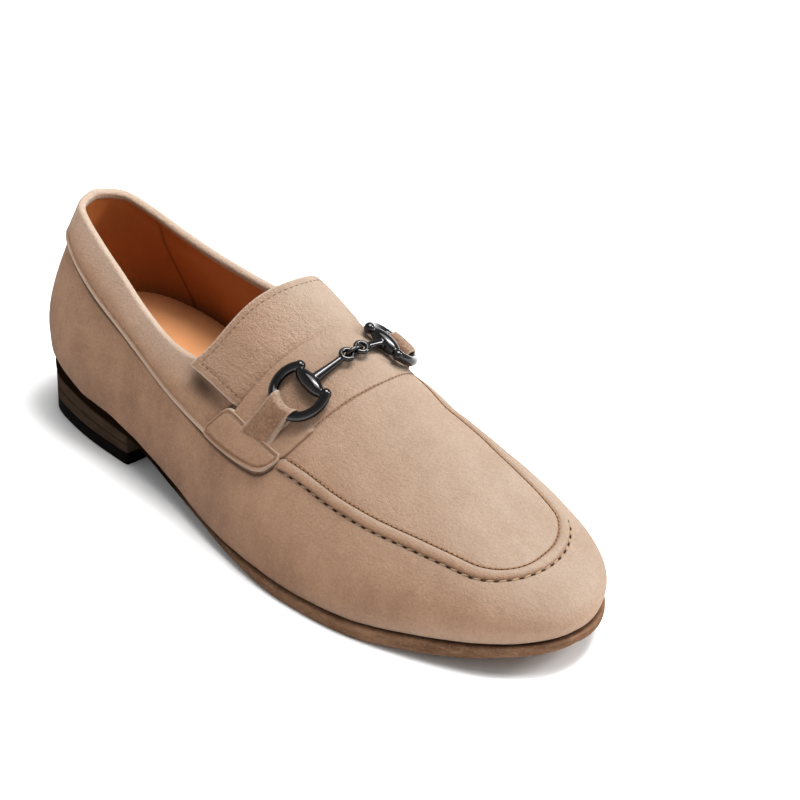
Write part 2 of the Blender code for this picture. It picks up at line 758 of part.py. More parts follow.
def make_loop(side, suede):
    """A strap folded round the ring's wire and stitched down at the tab, with a hole for the wire."""
    frame = ring_seat(side)
    slot_v = v_at_height(side, np.array(LOOP_SLOT), tab_edge["high"](LOOP_SLOT) + TAB_RAISE[side] + 1.0)
    slot = frame.read(lifted(side, LOOP_SLOT, slot_v, STRAP_THICK + 3 * GAP))
    hole_rise = RING_WIRE + GAP
    turns = np.linspace(0, 2 * np.pi, 16, endpoint=False)
    outer = []
    inner = []
    for u in np.linspace(-LOOP_HALF_WIDTH, LOOP_HALF_WIDTH, 5):
        wire = -np.sqrt(RING_RADIUS**2 - u * u)
        hole = hole_rise * RING_RADIUS / -wire
        outer_row = []
        inner_row = []
        for t in turns:
            inner_row.append(frame.at(u, wire + hole * np.cos(t), hole_rise * np.sin(t)))
            back = max(-np.cos(t), 0.0)
            front = max(np.cos(t), 0.0)
            tail_rise = slot[2] + LOOP_TAIL * (1 + np.sin(t)) / 2
            outer_row.append(frame.at(
                u + slot[0] * back,
                wire * (1 - back) + slot[1] * back + (hole + LOOP_WRAP) * front,
                (hole_rise + LOOP_WRAP) * np.sin(t) * (1 - back) + tail_rise * back,
            ))
        outer.append(outer_row + outer_row[:1])
        inner.append(inner_row + inner_row[:1])
    shell("loop_" + side, np.array(inner), np.array(outer), suede, sleeve=True)


for old in list(bpy.data.objects):
    bpy.data.objects.remove(old)

shoe = bpy.data.objects.new("shoe", None)
bpy.context.scene.collection.objects.link(shoe)
shoe.location = (
    -(LENGTH - HEEL_BULGE) / 2 * MM,
    (OUTER_HALF_WIDTH - INNER_HALF_WIDTH) / 2 * MM,
    0.0,
)

sand_suede = finish("sand_suede", (0.46, 0.335, 0.235), 0.95)
tan_leather = finish("tan_leather", (0.42, 0.19, 0.085), 0.55)
sole_leather = finish("sole_leather", (0.17, 0.095, 0.06), 0.7)
black_rubber = finish("black_rubber", (0.015, 0.014, 0.014), 0.6)
gunmetal = finish("gunmetal", (0.12, 0.12, 0.13), 0.18, 1.0)

make_outsole(sole_leather)
make_heel(sole_leather, black_rubber)
make_insole(tan_leather)
make_upper(sand_suede)
make_collar_band(sand_suede)
make_tongue(sand_suede)
make_strap(sand_suede)
for side_name in SIGN:
    make_tab(side_name, sand_suede)
    make_casting(side_name, gunmetal)
    make_loop(side_name, sand_suede)
make_link(gunmetal)
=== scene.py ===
# %% [markdown]
# # A suede loafer with a snaffle bit
# The imported CAD model is the skeleton of this lesson. It says where every piece of the shoe is and
# how large it is. We load it first.

import bpy
import numpy as np
from mathutils import Matrix, Vector


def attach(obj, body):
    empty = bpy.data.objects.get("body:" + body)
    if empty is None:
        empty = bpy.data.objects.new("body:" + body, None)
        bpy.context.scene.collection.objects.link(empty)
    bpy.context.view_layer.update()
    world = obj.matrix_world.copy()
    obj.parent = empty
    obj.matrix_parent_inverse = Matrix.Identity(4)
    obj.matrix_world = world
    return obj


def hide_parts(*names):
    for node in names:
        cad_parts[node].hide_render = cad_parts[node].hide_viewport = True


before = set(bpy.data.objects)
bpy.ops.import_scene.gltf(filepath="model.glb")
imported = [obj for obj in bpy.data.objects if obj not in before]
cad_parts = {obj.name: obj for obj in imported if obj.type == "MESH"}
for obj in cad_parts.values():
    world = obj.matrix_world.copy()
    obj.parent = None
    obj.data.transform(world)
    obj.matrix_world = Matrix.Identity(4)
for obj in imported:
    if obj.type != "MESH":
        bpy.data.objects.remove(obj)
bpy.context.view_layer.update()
MM = 0.001
print("nodes:", sorted(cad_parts))

# %% [markdown]
# ## The last
# A shoe is pulled over a last, a solid form of the foot, and everything soft follows its surface.
# Instead of sculpting by eye we describe the last with short tables, one row for each section, and
# ask it for points. "along" runs from the heel's back (0) to the toe's tip (100), and v runs from the
# feather line at the sole (0) to the crest of the instep (1). Sizes are millimetres until the end.

# %% Driving sizes and section tables
LENGTH = 300.0
BALL_WIDTH = 102.0
HEEL_HEIGHT = 18.0
INSTEP_HEIGHT = 80.0
ORIGIN = np.array([148.95, -2.95, 0.0])
SIGN = {"lateral": -1.0, "medial": 1.0}


def table(columns, *rows):
    return dict(zip(columns.split(), np.array(rows, float).T))


SOLE = table(
    "along lateral medial tread",
    (0.0, 0.0, 0.0, 100.0),
    (2.5, 22.0, 21.1, 98.5),
    (8.0, 28.9, 29.4, 94.0),
    (16.0, 32.4, 31.4, 86.0),
    (25.0, 33.8, 30.4, 74.0),
    (36.0, 38.7, 27.9, 42.0),
    (46.0, 45.9, 29.9, 18.0),
    (56.0, 51.4, 36.3, 2.0),
    (60.0, 52.6, 39.8, 0.0),
    (65.0, 52.9, 43.5, 0.0),
    (75.0, 50.0, 47.2, 0.0),
    (82.0, 43.9, 45.4, 11.0),
    (90.0, 34.3, 38.6, 29.0),
    (96.0, 23.0, 25.9, 50.0),
    (100.0, 0.0, 0.0, 64.0),
)
FEATHER = table(
    "along height tuck insole bevel",
    (0.0, 27.0, 0.4, 12.0, 0.6),
    (10.0, 24.3, 0.4, 15.0, 0.6),
    (23.0, 17.8, 0.4, 19.0, 2.0),
    (33.0, 12.4, 0.5, 16.5, 3.0),
    (43.0, 7.9, 0.7, 10.0, 3.0),
    (53.0, 5.6, 1.2, 6.0, 2.0),
    (62.0, 5.2, 1.9, 4.5, 0.8),
    (75.0, 6.2, 2.0, 4.0, 0.8),
    (87.0, 9.8, 2.0, 4.0, 0.8),
    (98.0, 14.3, 2.0, 4.0, 0.8),
    (100.0, 15.3, 2.0, 4.0, 0.8),
)
RIDGE = table(
    "along x half mid height",
    (0.0, 12.0, 0.0, 1.5, 135.0),
    (4.0, 14.0, 6.5, 2.0, 135.0),
    (12.0, 29.0, 10.5, 2.5, 135.0),
    (22.0, 55.0, 12.0, 2.5, 134.0),
    (30.0, 80.0, 11.0, 2.5, 131.5),
    (36.0, 100.0, 7.0, 3.5, 126.5),
    (42.0, 119.0, 0.0, 6.0, 120.5),
    (48.0, 138.0, 0.0, 7.0, 111.0),
    (54.0, 157.0, 0.0, 7.5, 100.5),
    (60.0, 177.0, 0.0, 8.0, 90.0),
    (68.0, 202.0, 0.0, 8.0, 77.5),
    (76.0, 224.0, 0.0, 7.5, 68.1),
    (84.0, 244.0, 0.0, 6.5, 59.6),
    (90.0, 256.0, 0.0, 5.5, 54.0),
    (95.0, 264.0, 0.0, 4.6, 50.0),
    (100.0, 268.0, 0.0, 4.0, 48.1),
)
FULLNESS = table(
    "along rise_lateral rise_medial out_lateral out_medial drop reach_lateral reach_medial",
    (0.0, 33.0, 33.0, 9.0, 9.0, 36.0, 3.0, 3.0),
    (8.0, 33.0, 33.0, 10.0, 11.0, 36.0, 4.0, 4.0),
    (20.0, 34.0, 34.0, 7.0, 7.0, 36.0, 7.0, 7.0),
    (30.0, 35.0, 38.0, 4.5, 5.0, 28.0, 12.0, 14.0),
    (36.0, 36.0, 46.0, 3.0, 4.0, 15.0, 16.0, 22.0),
    (42.0, 38.0, 57.0, 3.0, 5.0, 0.5, 20.0, 29.5),
    (50.0, 42.0, 56.0, 3.0, 5.0, 0.0, 25.0, 25.0),
    (56.0, 43.0, 58.5, 4.2, 5.2, 0.0, 27.0, 24.5),
    (62.0, 44.0, 64.5, 5.1, 6.1, 0.0, 28.0, 26.8),
    (68.0, 45.0, 68.0, 5.5, 6.5, 0.0, 28.0, 27.0),
    (80.0, 50.0, 66.0, 5.5, 8.5, 0.0, 27.0, 26.5),
    (92.0, 57.0, 62.0, 6.0, 9.0, 0.0, 24.5, 24.5),
    (100.0, 58.0, 58.0, 6.5, 6.5, 0.0, 22.0, 22.0),
)
TOPLINE = table(
    "along rim_lateral rim_medial seam_lateral seam_medial",
    (0.0, 113.8, 113.8, 98.2, 98.2),
    (4.0, 112.0, 108.9, 95.6, 95.2),
    (10.0, 106.7, 100.8, 87.5, 89.0),
    (18.0, 97.8, 94.2, 77.5, 82.0),
    (26.0, 86.2, 91.0, 68.0, 75.0),
    (34.0, 79.7, 89.5, 58.0, 67.0),
    (40.0, 81.6, 92.0, 53.5, 61.0),
    (43.0, 91.0, 100.0, 52.0, 59.0),
    (45.5, 130.0, 130.0, 51.5, 59.0),
    (50.0, 130.0, 130.0, 51.0, 58.5),
    (53.0, 130.0, 130.0, 51.5, 59.0),
    (55.0, 130.0, 130.0, 54.0, 61.5),
    (56.2, 130.0, 130.0, 58.0, 65.5),
    (57.0, 130.0, 130.0, 62.0, 69.0),
)
THROAT = 45.5
print("sections of the last:", len(RIDGE["along"]))

# %% [markdown]
# ## From tables to a smooth surface
# Two kinds of curve run through a column: a natural one for round outlines, and a steady one that
# never swings past its rows, which keeps the flat tread flat. Each section of the last is then one
# Bezier curve with four handles, so the whole form is smooth with very few numbers.

# %% Curves through the columns
def natural(xs, ys):
    step = np.diff(xs)
    count = len(xs)
    matrix = np.eye(count)
    right = np.zeros(count)
    for i in range(1, count - 1):
        matrix[i, i - 1:i + 2] = step[i - 1], 2 * (step[i - 1] + step[i]), step[i]
        right[i] = 6 * ((ys[i + 1] - ys[i]) / step[i] - (ys[i] - ys[i - 1]) / step[i - 1])
    bend = np.linalg.solve(matrix, right)

    def curve(x):
        i = np.clip(np.searchsorted(xs, x) - 1, 0, count - 2)
        d = step[i]
        a = (xs[i + 1] - x) / d
        b = 1 - a
        return a * ys[i] + b * ys[i + 1] + ((a**3 - a) * bend[i] + (b**3 - b) * bend[i + 1]) * d * d / 6
    return curve


def steady(xs, ys):
    step = np.diff(xs)
    rate = np.diff(ys) / step
    slope = np.zeros(len(xs))
    slope[0] = rate[0]
    slope[-1] = rate[-1]
    for i in range(1, len(xs) - 1):
        if rate[i - 1] * rate[i] > 0:
            slope[i] = 2 * rate[i - 1] * rate[i] / (rate[i - 1] + rate[i])

    def curve(x):
        i = np.clip(np.searchsorted(xs, x) - 1, 0, len(xs) - 2)
        d = step[i]
        t = np.clip((x - xs[i]) / d, 0, 1)
        start = (1 + 2 * t) * (1 - t)**2 * ys[i] + t * (1 - t)**2 * d * slope[i]
        return start + t * t * (3 - 2 * t) * ys[i + 1] - t * t * (1 - t) * d * slope[i + 1]
    return curve


def station(along):
    return np.arccos(1 - np.clip(np.asarray(along, float), 0, 100) / 50) / np.pi


def along_at(s):
    return 50 * (1 - np.cos(np.pi * np.asarray(s, float)))


def column(rows, name, kind=steady):
    curve = kind(station(rows["along"]), rows[name])
    return lambda along: curve(station(along))


half_width = {side: column(SOLE, side, natural) for side in SIGN}
tread_share = column(SOLE, "tread")
feather = column(FEATHER, "height")
tuck = column(FEATHER, "tuck")
insole_rise = column(FEATHER, "insole")
bevel = column(FEATHER, "bevel")
ridge = {name: column(RIDGE, name) for name in ("x", "half", "mid", "height")}
full = {name: column(FULLNESS, name) for name in FULLNESS if name != "along"}
topline = {name: column(TOPLINE, name) for name in TOPLINE if name != "along"}
ball = float(half_width["lateral"](65) + half_width["medial"](65))
print("sole width at the ball:", round(BALL_WIDTH * ball / 100, 1), "mm")

# %% [markdown]
# ## The surface and its outward direction
# The sole's outline is the base of every section. From a point of it one curve climbs to the crest,
# and "side" says which way. Small steps along and up the surface give two directions, and their cross
# product points outwards, so a piece can be laid on the last at any height.

# %% The last's surface and its outward direction
def tread(along):
    return HEEL_HEIGHT * tread_share(along) / 100


def edge(side, along, inset=0.0):
    def point(s):
        at = along_at(np.clip(s, 0, 1))
        return np.stack([LENGTH * at / 100, SIGN[side] * BALL_WIDTH * half_width[side](at) / 100], -1)
    s = station(along)
    small = 1e-4
    run = point(s + small) - point(s - small)
    run /= np.linalg.norm(run, axis=-1, keepdims=True) + 1e-12
    out = np.stack([-run[..., 1], run[..., 0]], -1) * SIGN[side]
    out = np.where((s < small)[..., None], [-1.0, 0.0], out)
    out = np.where((s > 1 - small)[..., None], [1.0, 0.0], out)
    return point(s) - out * np.asarray(inset)[..., None], out


def handles(side, along):
    plan, out = edge(side, along, tuck(along))
    foot = np.concatenate([plan, feather(along)[..., None]], -1)
    top_y = ridge["mid"](along) + SIGN[side] * ridge["half"](along)
    top = np.stack([ridge["x"](along), top_y, INSTEP_HEIGHT * ridge["height"](along) / 100], -1)
    tall = top[..., 2] - foot[..., 2]
    low_rise = tall * full["rise_" + side](along) / 100
    low = foot + np.concatenate([out * full["out_" + side](along)[..., None], low_rise[..., None]], -1)
    away = (foot - top)[..., :2]
    away /= np.linalg.norm(away, axis=-1, keepdims=True) + 1e-9
    reach = full["reach_" + side](along)
    small = 0.1
    ahead = np.clip(along + small, 0, 100)
    behind = np.clip(along - small, 0, 100)
    fall = INSTEP_HEIGHT * (ridge["height"](ahead) - ridge["height"](behind)) / 100
    slope = np.clip(fall / (ridge["x"](ahead) - ridge["x"](behind)), -0.6, 0.2)
    sink = away[..., 0] * reach * slope - tall * full["drop"](along) / 100
    high = top + np.stack([away[..., 0] * reach, away[..., 1] * reach, sink], -1)
    return foot, low, high, top


def last(side, along, v):
    along, v = np.broadcast_arrays(np.asarray(along, float), np.asarray(v, float))
    foot, low, high, top = handles(side, along)
    v = v[..., None]
    return foot * (1 - v)**3 + 3 * low * v * (1 - v)**2 + 3 * high * v * v * (1 - v) + top * v**3


def outward(side, along, v):
    along, v = np.broadcast_arrays(np.asarray(along, float), np.asarray(v, float))
    s = station(along)
    small = 2e-3
    ahead = last(side, along_at(np.clip(s + small, 0, 1)), v)
    behind = last(side, along_at(np.clip(s - small, 0, 1)), v)
    above = last(side, along, np.clip(v + small, 0, 1))
    below = last(side, along, np.clip(v - small, 0, 1))
    face = -SIGN[side] * np.cross(ahead - behind, above - below)
    return face / (np.linalg.norm(face, axis=-1, keepdims=True) + 1e-12)


def lifted(side, along, v, height):
    return last(side, along, v) + outward(side, along, v) * np.asarray(height)[..., None]


def reach_v(side, along, test):
    low = np.zeros(np.shape(along))
    high = np.ones(np.shape(along))
    for _ in range(30):
        mid = (low + high) / 2
        hit = test(last(side, along, mid))
        high = np.where(hit, mid, high)
        low = np.where(hit, low, mid)
    return high


def v_at_height(side, along, height):
    return reach_v(side, along, lambda p: p[..., 2] >= height)


def v_rim(side, along):
    height = INSTEP_HEIGHT * topline["rim_" + side](along) / 100
    return np.where(along >= THROAT, 1.0, v_at_height(side, along, height))


print("rim at the heel's back:", round(float(INSTEP_HEIGHT * topline["rim_lateral"](0.0) / 100), 1), "mm")

# %% [markdown]
# ## Seams drawn on the last
# The apron is a panel on top of the toe. Its seam is drawn in plan, as an outline with rounded front
# corners, and then found on the last by halving v until the point falls inside that outline. Behind
# the strap the same line of seams goes round the tab and along the lower edge of the collar band.

# %% Apron, tab and tongue outlines
APRON = table(
    "along lateral medial",
    (56.0, 37.0, 33.0),
    (58.0, 36.5, 31.0),
    (61.0, 36.0, 29.2),
    (65.0, 35.5, 28.4),
    (72.0, 33.2, 30.0),
    (80.0, 27.8, 30.2),
    (87.0, 22.0, 29.0),
    (91.0, 18.4, 26.6),
    (96.0, 15.0, 23.5),
)
APRON_START = 57.2
ROLL_START = 56.4
APRON_FRONT = 277.0
APRON_CORNER = 258.0
APRON_SQUARE = 2.25
APRON_SKEW = 0.12
TAB = table(
    "along low high",
    (42.4, 42.4, 45.0),
    (43.4, 41.7, 49.0),
    (46.0, 41.0, 56.4),
    (50.0, 40.8, 54.6),
    (53.0, 41.2, 52.8),
    (55.0, 43.0, 51.6),
    (56.2, 46.3, 50.9),
    (56.8, 48.6, 50.5),
)
TAB_RAISE = {"lateral": 0.0, "medial": 6.0}
TONGUE_EDGE = table(
    "along lateral medial",
    (36.0, 63.4, 71.0),
    (41.4, 60.6, 68.2),
    (47.0, 57.4, 65.0),
)
BAND_END = 42.1
BAND_LEAN = 3.4
TONGUE_TOP = 37.1
TONGUE_TOP_BOW = 6.6
STRAP_REAR = 46.4
STRAP_REAR_BOW = 5.6
STRAP_FRONT = 56.7
STRAP_FRONT_BOW = 4.4
GAP = 0.3

apron_reach = {side: column(APRON, side) for side in SIGN}
tab_edge = {name: column(TAB, name) for name in ("low", "high")}
tongue_edge = {side: column(TONGUE_EDGE, side) for side in SIGN}


def inside_apron(p):
    along = 100 * p[..., 0] / LENGTH
    lateral = apron_reach["lateral"](along)
    medial = apron_reach["medial"](along)
    middle = (medial - lateral) / 2
    across = np.abs(p[..., 1] - middle) / ((medial + lateral) / 2)
    front = p[..., 0] + APRON_SKEW * (p[..., 1] - middle)
    ahead = np.clip((front - APRON_CORNER) / (APRON_FRONT - APRON_CORNER), 0, None)
    return across**APRON_SQUARE + ahead**APRON_SQUARE <= 1


def v_seam(side, along):
    height = INSTEP_HEIGHT * topline["seam_" + side](along) / 100
    behind = v_at_height(side, along, height)
    return np.where(along < ROLL_START, behind, reach_v(side, along, inside_apron))


print("apron front at", APRON_FRONT, "mm of", LENGTH)

# %% [markdown]
# ## Helpers for modelling
# Each soft piece starts as a grid primitive with one vertex for every point that we ask the last for,
# and its vertices are laid on those points. Named numbers, such as the distance to a cut edge, ride
# along as attributes, so a finish can paint shade into a groove or lighten a raw edge later.

# %% Grid, weld and finish helpers
def start_fresh():
    if bpy.context.object and bpy.context.object.mode != "OBJECT":
        bpy.ops.object.mode_set(mode="OBJECT")
    bpy.ops.object.select_all(action="DESELECT")


def laid_grid(name, points, **numbers):
    """A grid primitive laid on an array of points, in millimetres on the last."""
    rows, cols = points.shape[:2]
    start_fresh()
    bpy.ops.mesh.primitive_grid_add(x_subdivisions=cols - 1, y_subdivisions=rows - 1, size=1)
    piece = bpy.context.object
    piece.name = name
    piece.data.name = name
    places = (points.reshape(-1, 3) - ORIGIN) * MM
    piece.data.vertices.foreach_set("co", places.astype(np.float32).ravel())
    for label, values in numbers.items():
        layer = piece.data.attributes.new(label, "FLOAT", "POINT")
        layer.data.foreach_set("value", np.broadcast_to(values, (rows, cols)).astype(np.float32).ravel())
    piece.data.update()
    return piece


def pick_only(*pieces):
    start_fresh()
    for piece in pieces:
        piece.select_set(True)
    bpy.context.view_layer.objects.active = pieces[0]


def join(pieces, name):
    pick_only(*pieces)
    bpy.ops.object.join()
    bpy.context.object.name = name
    return bpy.context.object


def weld(piece, distance=1e-5, recalculate=True):
    pick_only(piece)
    bpy.ops.object.mode_set(mode="EDIT")
    bpy.ops.mesh.select_all(action="SELECT")
    bpy.ops.mesh.remove_doubles(threshold=distance)
    if recalculate:
        bpy.ops.mesh.normals_make_consistent(inside=False)
    bpy.ops.object.mode_set(mode="OBJECT")
    bpy.ops.object.shade_smooth()
    return piece


def apply_modifier(piece, kind, **settings):
    pick_only(piece)
    modifier = piece.modifiers.new(kind.lower(), kind)
    for label, value in settings.items():
        setattr(modifier, label, value)
    bpy.ops.object.modifier_apply(modifier=modifier.name)
    return piece


def wear(piece, slot, *finishes, node=None):
    """Give a piece its finishes, let it ride on the shoe and hide the CAD part of the node it stands for.
    """
    for finish in finishes:
        piece.data.materials.append(finish)
    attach(piece, "root")
    if node:
        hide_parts(node)
    print(piece.name, len(piece.data.polygons), "faces")
    return piece


def soften(points, axis, weight, rounds):
    """Even out an array of points along one axis, where the weight allows it; the ends stay."""
    points = np.moveaxis(points.copy(), axis, 0)
    weight = np.moveaxis(weight, axis, 0)[1:-1, ..., None]
    for _ in range(rounds):
        even = (points[:-2] + 2 * points[1:-1] + points[2:]) / 4
        points[1:-1] += weight * (even - points[1:-1])
    return np.moveaxis(points, 0, axis)


def crowd(count):
    """Shares from 0 to 1 that crowd at both ends, where edges are rounded."""
    return (1 - np.cos(np.linspace(0, np.pi, count))) / 2


def even_alongs(first, stop, count):
    return along_at(np.linspace(station(first), station(stop), count))


# %% [markdown]
# ## Shader maths as Python
# A finish is a small node tree. One class wraps a socket and overloads the operators, so that
# `1 - mask * 0.4` adds Math nodes, and one method of the recipe adds any other node.

# %% Recipe and term
class Term:
    def __init__(self, recipe, socket):
        self.recipe = recipe
        self.socket = socket

    def maths(self, operation, first, second):
        return self.recipe.node("ShaderNodeMath", {"operation": operation}, {0: first, 1: second})

    def __add__(self, other):
        return self.maths("ADD", self, other)

    def __sub__(self, other):
        return self.maths("SUBTRACT", self, other)

    def __rsub__(self, other):
        return self.maths("SUBTRACT", other, self)

    def __mul__(self, other):
        return self.maths("MULTIPLY", self, other)

    def __pow__(self, other):
        return self.maths("POWER", self, other)

    __radd__ = __add__
    __rmul__ = __mul__


class Recipe:
    def __init__(self, name, roughness=0.8, **fixed):
        self.material = bpy.data.materials.new(name)
        self.material.use_nodes = True
        self.tree = self.material.node_tree
        self.shader = self.tree.nodes["Principled BSDF"]
        self.shader.inputs["Roughness"].default_value = roughness
        for label, value in fixed.items():
            self.shader.inputs[label.replace("_", " ")].default_value = value
        self.places = self.node("ShaderNodeTexCoord", output="Object")

    def node(self, kind, settings=None, inputs=None, output=0):
        made = self.tree.nodes.new(kind)
        for label, value in (settings or {}).items():
            setattr(made, label, value)
        for label, value in (inputs or {}).items():
            self.feed(made.inputs[label], value)
        return Term(self, made.outputs[output])

    def feed(self, socket, value):
        if isinstance(value, Term):
            self.tree.links.new(value.socket, socket)
        else:
            socket.default_value = value

    def noise(self, scale, detail=3.0, stretch=None, rough=0.55):
        places = self.places
        if stretch:
            places = self.node("ShaderNodeMapping", None, {"Vector": places, "Scale": stretch})
        return self.node("ShaderNodeTexNoise", None,
                         {"Vector": places, "Scale": scale, "Detail": detail, "Roughness": rough})

    def ramp(self, value, low, high):
        return self.node("ShaderNodeMapRange", {"clamp": True}, {0: value, 1: low, 2: high})

    def number(self, label):
        return self.node("ShaderNodeAttribute", {"attribute_name": label}, output="Fac")

    def mix(self, share, first, second):
        first, second = (c if isinstance(c, Term) else (*c, 1) for c in (first, second))
        return self.node("ShaderNodeMix", {"data_type": "RGBA"}, {0: share, 6: first, 7: second}, output=2)

    def bump(self, height, strength, depth):
        return self.node("ShaderNodeBump", None,
                         {"Height": height, "Strength": strength, "Distance": depth})

    def done(self, colour, normal=None, **varying):
        self.feed(self.shader.inputs["Base Color"], colour)
        if normal is not None:
            self.feed(self.shader.inputs["Normal"], normal)
        for label, value in varying.items():
            self.feed(self.shader.inputs[label], value)
        return self.material


print("shader maths:", Term.__name__, "and", Recipe.__name__)

# %% [markdown]
# ## Suede
# Suede is leather turned flesh side out and brushed. Up close it is a short, uneven nap: no gloss at
# all, a cloudy change of tone where the pile lies differently, and fine speckle. A picture of suede
# would show its edges on a curved shoe, so noises of several sizes drive the colour instead: wide
# clouds, smudges, brushed strokes and speckle, and the finest ones drive a bump. Light and shade are
# also painted into the colour: faces that look up, to the toe and to the inner side are painted paler,
# faces turned away are painted deeper and redder, and those turned far away darker still.

# %% Suede finishes
# painted light and shade: a lit tone and a deeper, redder shaded tone stand in for how the lamps fall on
# the suede
SAND_LIT = (0.298, 0.238, 0.187)
SAND_MID = (0.268, 0.182, 0.126)
SAND_SHADED = (0.393, 0.224, 0.137)
SAND_DARK = (0.126, 0.066, 0.037)
# a painted light tone: floor light bounced up near the sole, and a highlight under the collar's rim
SAND_PAINTED_LIGHT = (0.430, 0.340, 0.268)
RAW_EDGE = (0.48, 0.39, 0.31)
# the colour of painted shade in grooves, under edges and in dents
SHADE_BROWN = (0.045, 0.022, 0.012)
# the way the painted light comes from: up, to the toe and to the inner side
LIGHT_WAY = (0.30, 0.35, 0.88)


def suede(name, raw_edge=False, groove=None, pale=None, coarse=1.0, relief=1.0, fringe_share=0.7,
          depth=0.42):
    recipe = Recipe(name, roughness=0.95, Sheen_Weight=0.06, Sheen_Roughness=0.5, Specular_IOR_Level=0.12)
    clouds = recipe.ramp(recipe.noise(24.0, 3.0), 0.3, 0.7)
    smudge = recipe.ramp(recipe.noise(60.0, 4.0, (0.6, 1.0, 1.0), rough=0.6), 0.34, 0.66)
    brushed = recipe.ramp(recipe.noise(150.0, 4.0, (0.5, 1.0, 1.0)), 0.3, 0.7)
    strokes = recipe.ramp(recipe.noise(90.0, 4.0, (1.0, 1.0, 0.45), rough=0.65), 0.34, 0.66)
    speckle = recipe.ramp(recipe.noise(850.0 / coarse, 3.0, rough=0.65), 0.3, 0.7)
    fibres = recipe.ramp(recipe.noise(1900.0 / coarse, 2.0, rough=0.7), 0.28, 0.72)
    # painted light and shade: each face's turn towards that way says how lit it is
    facing = recipe.node("ShaderNodeNewGeometry", output="Normal")
    toward_light = recipe.node("ShaderNodeVectorMath", {"operation": "DOT_PRODUCT"},
                        {0: facing, 1: LIGHT_WAY}, output="Value")
    upward = recipe.ramp(toward_light, -0.15, 0.95)
    # faces turned away get the deeper, redder painted shade, and lit faces get a paler painted highlight
    tone = recipe.mix(upward, SAND_SHADED, SAND_MID)
    tone = recipe.mix(upward**3 * (0.55 + clouds * 0.3 + brushed * 0.25), tone, SAND_LIT)
    # faces turned far from the light are darkened as painted shade, and their mottling is stronger; smudges
    # and strokes are random tone
    away = 1 - recipe.ramp(toward_light, -0.6, 0.0)
    patches_and_shade = away * 0.28 + (1 - smudge) * 0.15 + (1 - strokes) * (0.07 + (1 - upward) * 0.1)
    patches_and_shade = patches_and_shade + (1 - clouds) * (1 - upward) * 0.12
    # speckle and fibres darken the tone at random, and the painted shade adds to it
    tone = recipe.mix((1 - speckle * 0.5 - fibres * 0.5) * depth + patches_and_shade, tone, SAND_DARK)
    # painted light: the pale attribute marks floor bounce near the toe's sole line and a highlight under
    # the collar's rim
    if pale:
        tone = recipe.mix(recipe.number(pale) * (0.6 + speckle * 0.4), tone, SAND_PAINTED_LIGHT)
    # painted shade: the groove attribute darkens stitched grooves, shadows under laid edges, dents, low
    # walls and the tongue's outer side
    if groove:
        tone = recipe.mix(recipe.number(groove), tone, SHADE_BROWN)
    if raw_edge:
        fringe = 1 - recipe.ramp(recipe.number("edge_mm") + speckle * 0.5, 0.35, 1.25)
        tone = recipe.mix(fringe * (0.45 + speckle * 0.55) * fringe_share, tone, RAW_EDGE)
    nap = recipe.bump(fibres * 0.4 + speckle * 0.6 + brushed * 0.6, 0.5 * relief, 0.0007)
    return recipe.done(tone, nap)


suede_skin = suede("suede_skin", groove="groove", pale="pale")
suede_trim = suede("suede_trim", raw_edge=True, groove="groove")
suede_strap = suede("suede_strap", groove="groove")
# the loop is darkened overall with deeper speckle: painted shade for its steep face turned from the light
suede_loop = suede("suede_loop", raw_edge=True, fringe_share=0.4, depth=0.95)
suede_tongue = suede("suede_tongue", raw_edge=True, groove="groove", coarse=1.4, relief=1.7,
                     fringe_share=1.0, depth=0.18)
suede_band = suede("suede_band", raw_edge=True, groove="groove", pale="pale", fringe_share=0.95)
print("suede finishes:", suede_skin.name, suede_trim.name, suede_tongue.name)

# %% [markdown]
# ## Leather, rubber, metal and thread
# The lining and sock are smooth saddle-tan leather with a faint grain. The sole's cut edge is dyed
# brown and shows fibres that run round the shoe; from the heel to the waist it is painted nearly black,
# a painted shade for where it lies in shadow under the upper and above the floor. The heel's top lift
# is black rubber, and the bit is plated in dark gunmetal, polished enough to mirror the studio, so its
# own colour is almost black and the lights draw its shape.

# %% Tan leather
SEAM_BROWN = (0.05, 0.014, 0.004)


def tan_leather(name, colour, seam=None):
    recipe = Recipe(name, roughness=0.5, Specular_IOR_Level=0.12)
    patch = recipe.ramp(recipe.noise(38.0, 3.0), 0.32, 0.7)
    grain = recipe.node("ShaderNodeTexVoronoi", {"feature": "F1"},
                        {"Vector": recipe.places, "Scale": 1500.0}, output="Distance")
    tone = recipe.mix(patch, tuple(0.86 * c for c in colour), colour)
    if seam:
        tone = recipe.mix(recipe.number(seam), tone, SEAM_BROWN)
    relief = recipe.bump(grain * 0.5 + patch * 0.5, 0.14, 0.0004)
    return recipe.done(tone, relief, Roughness=0.44 + patch * 0.14)


lining_leather = tan_leather("lining_leather", (0.37, 0.122, 0.035), seam="lining_seam")
sock_leather = tan_leather("sock_leather", (0.52, 0.238, 0.102))
print("leather finishes:", lining_leather.name, sock_leather.name)

# %% Sole leather, rubber, gunmetal and thread
SCUFF_PALE = (0.30, 0.24, 0.19)


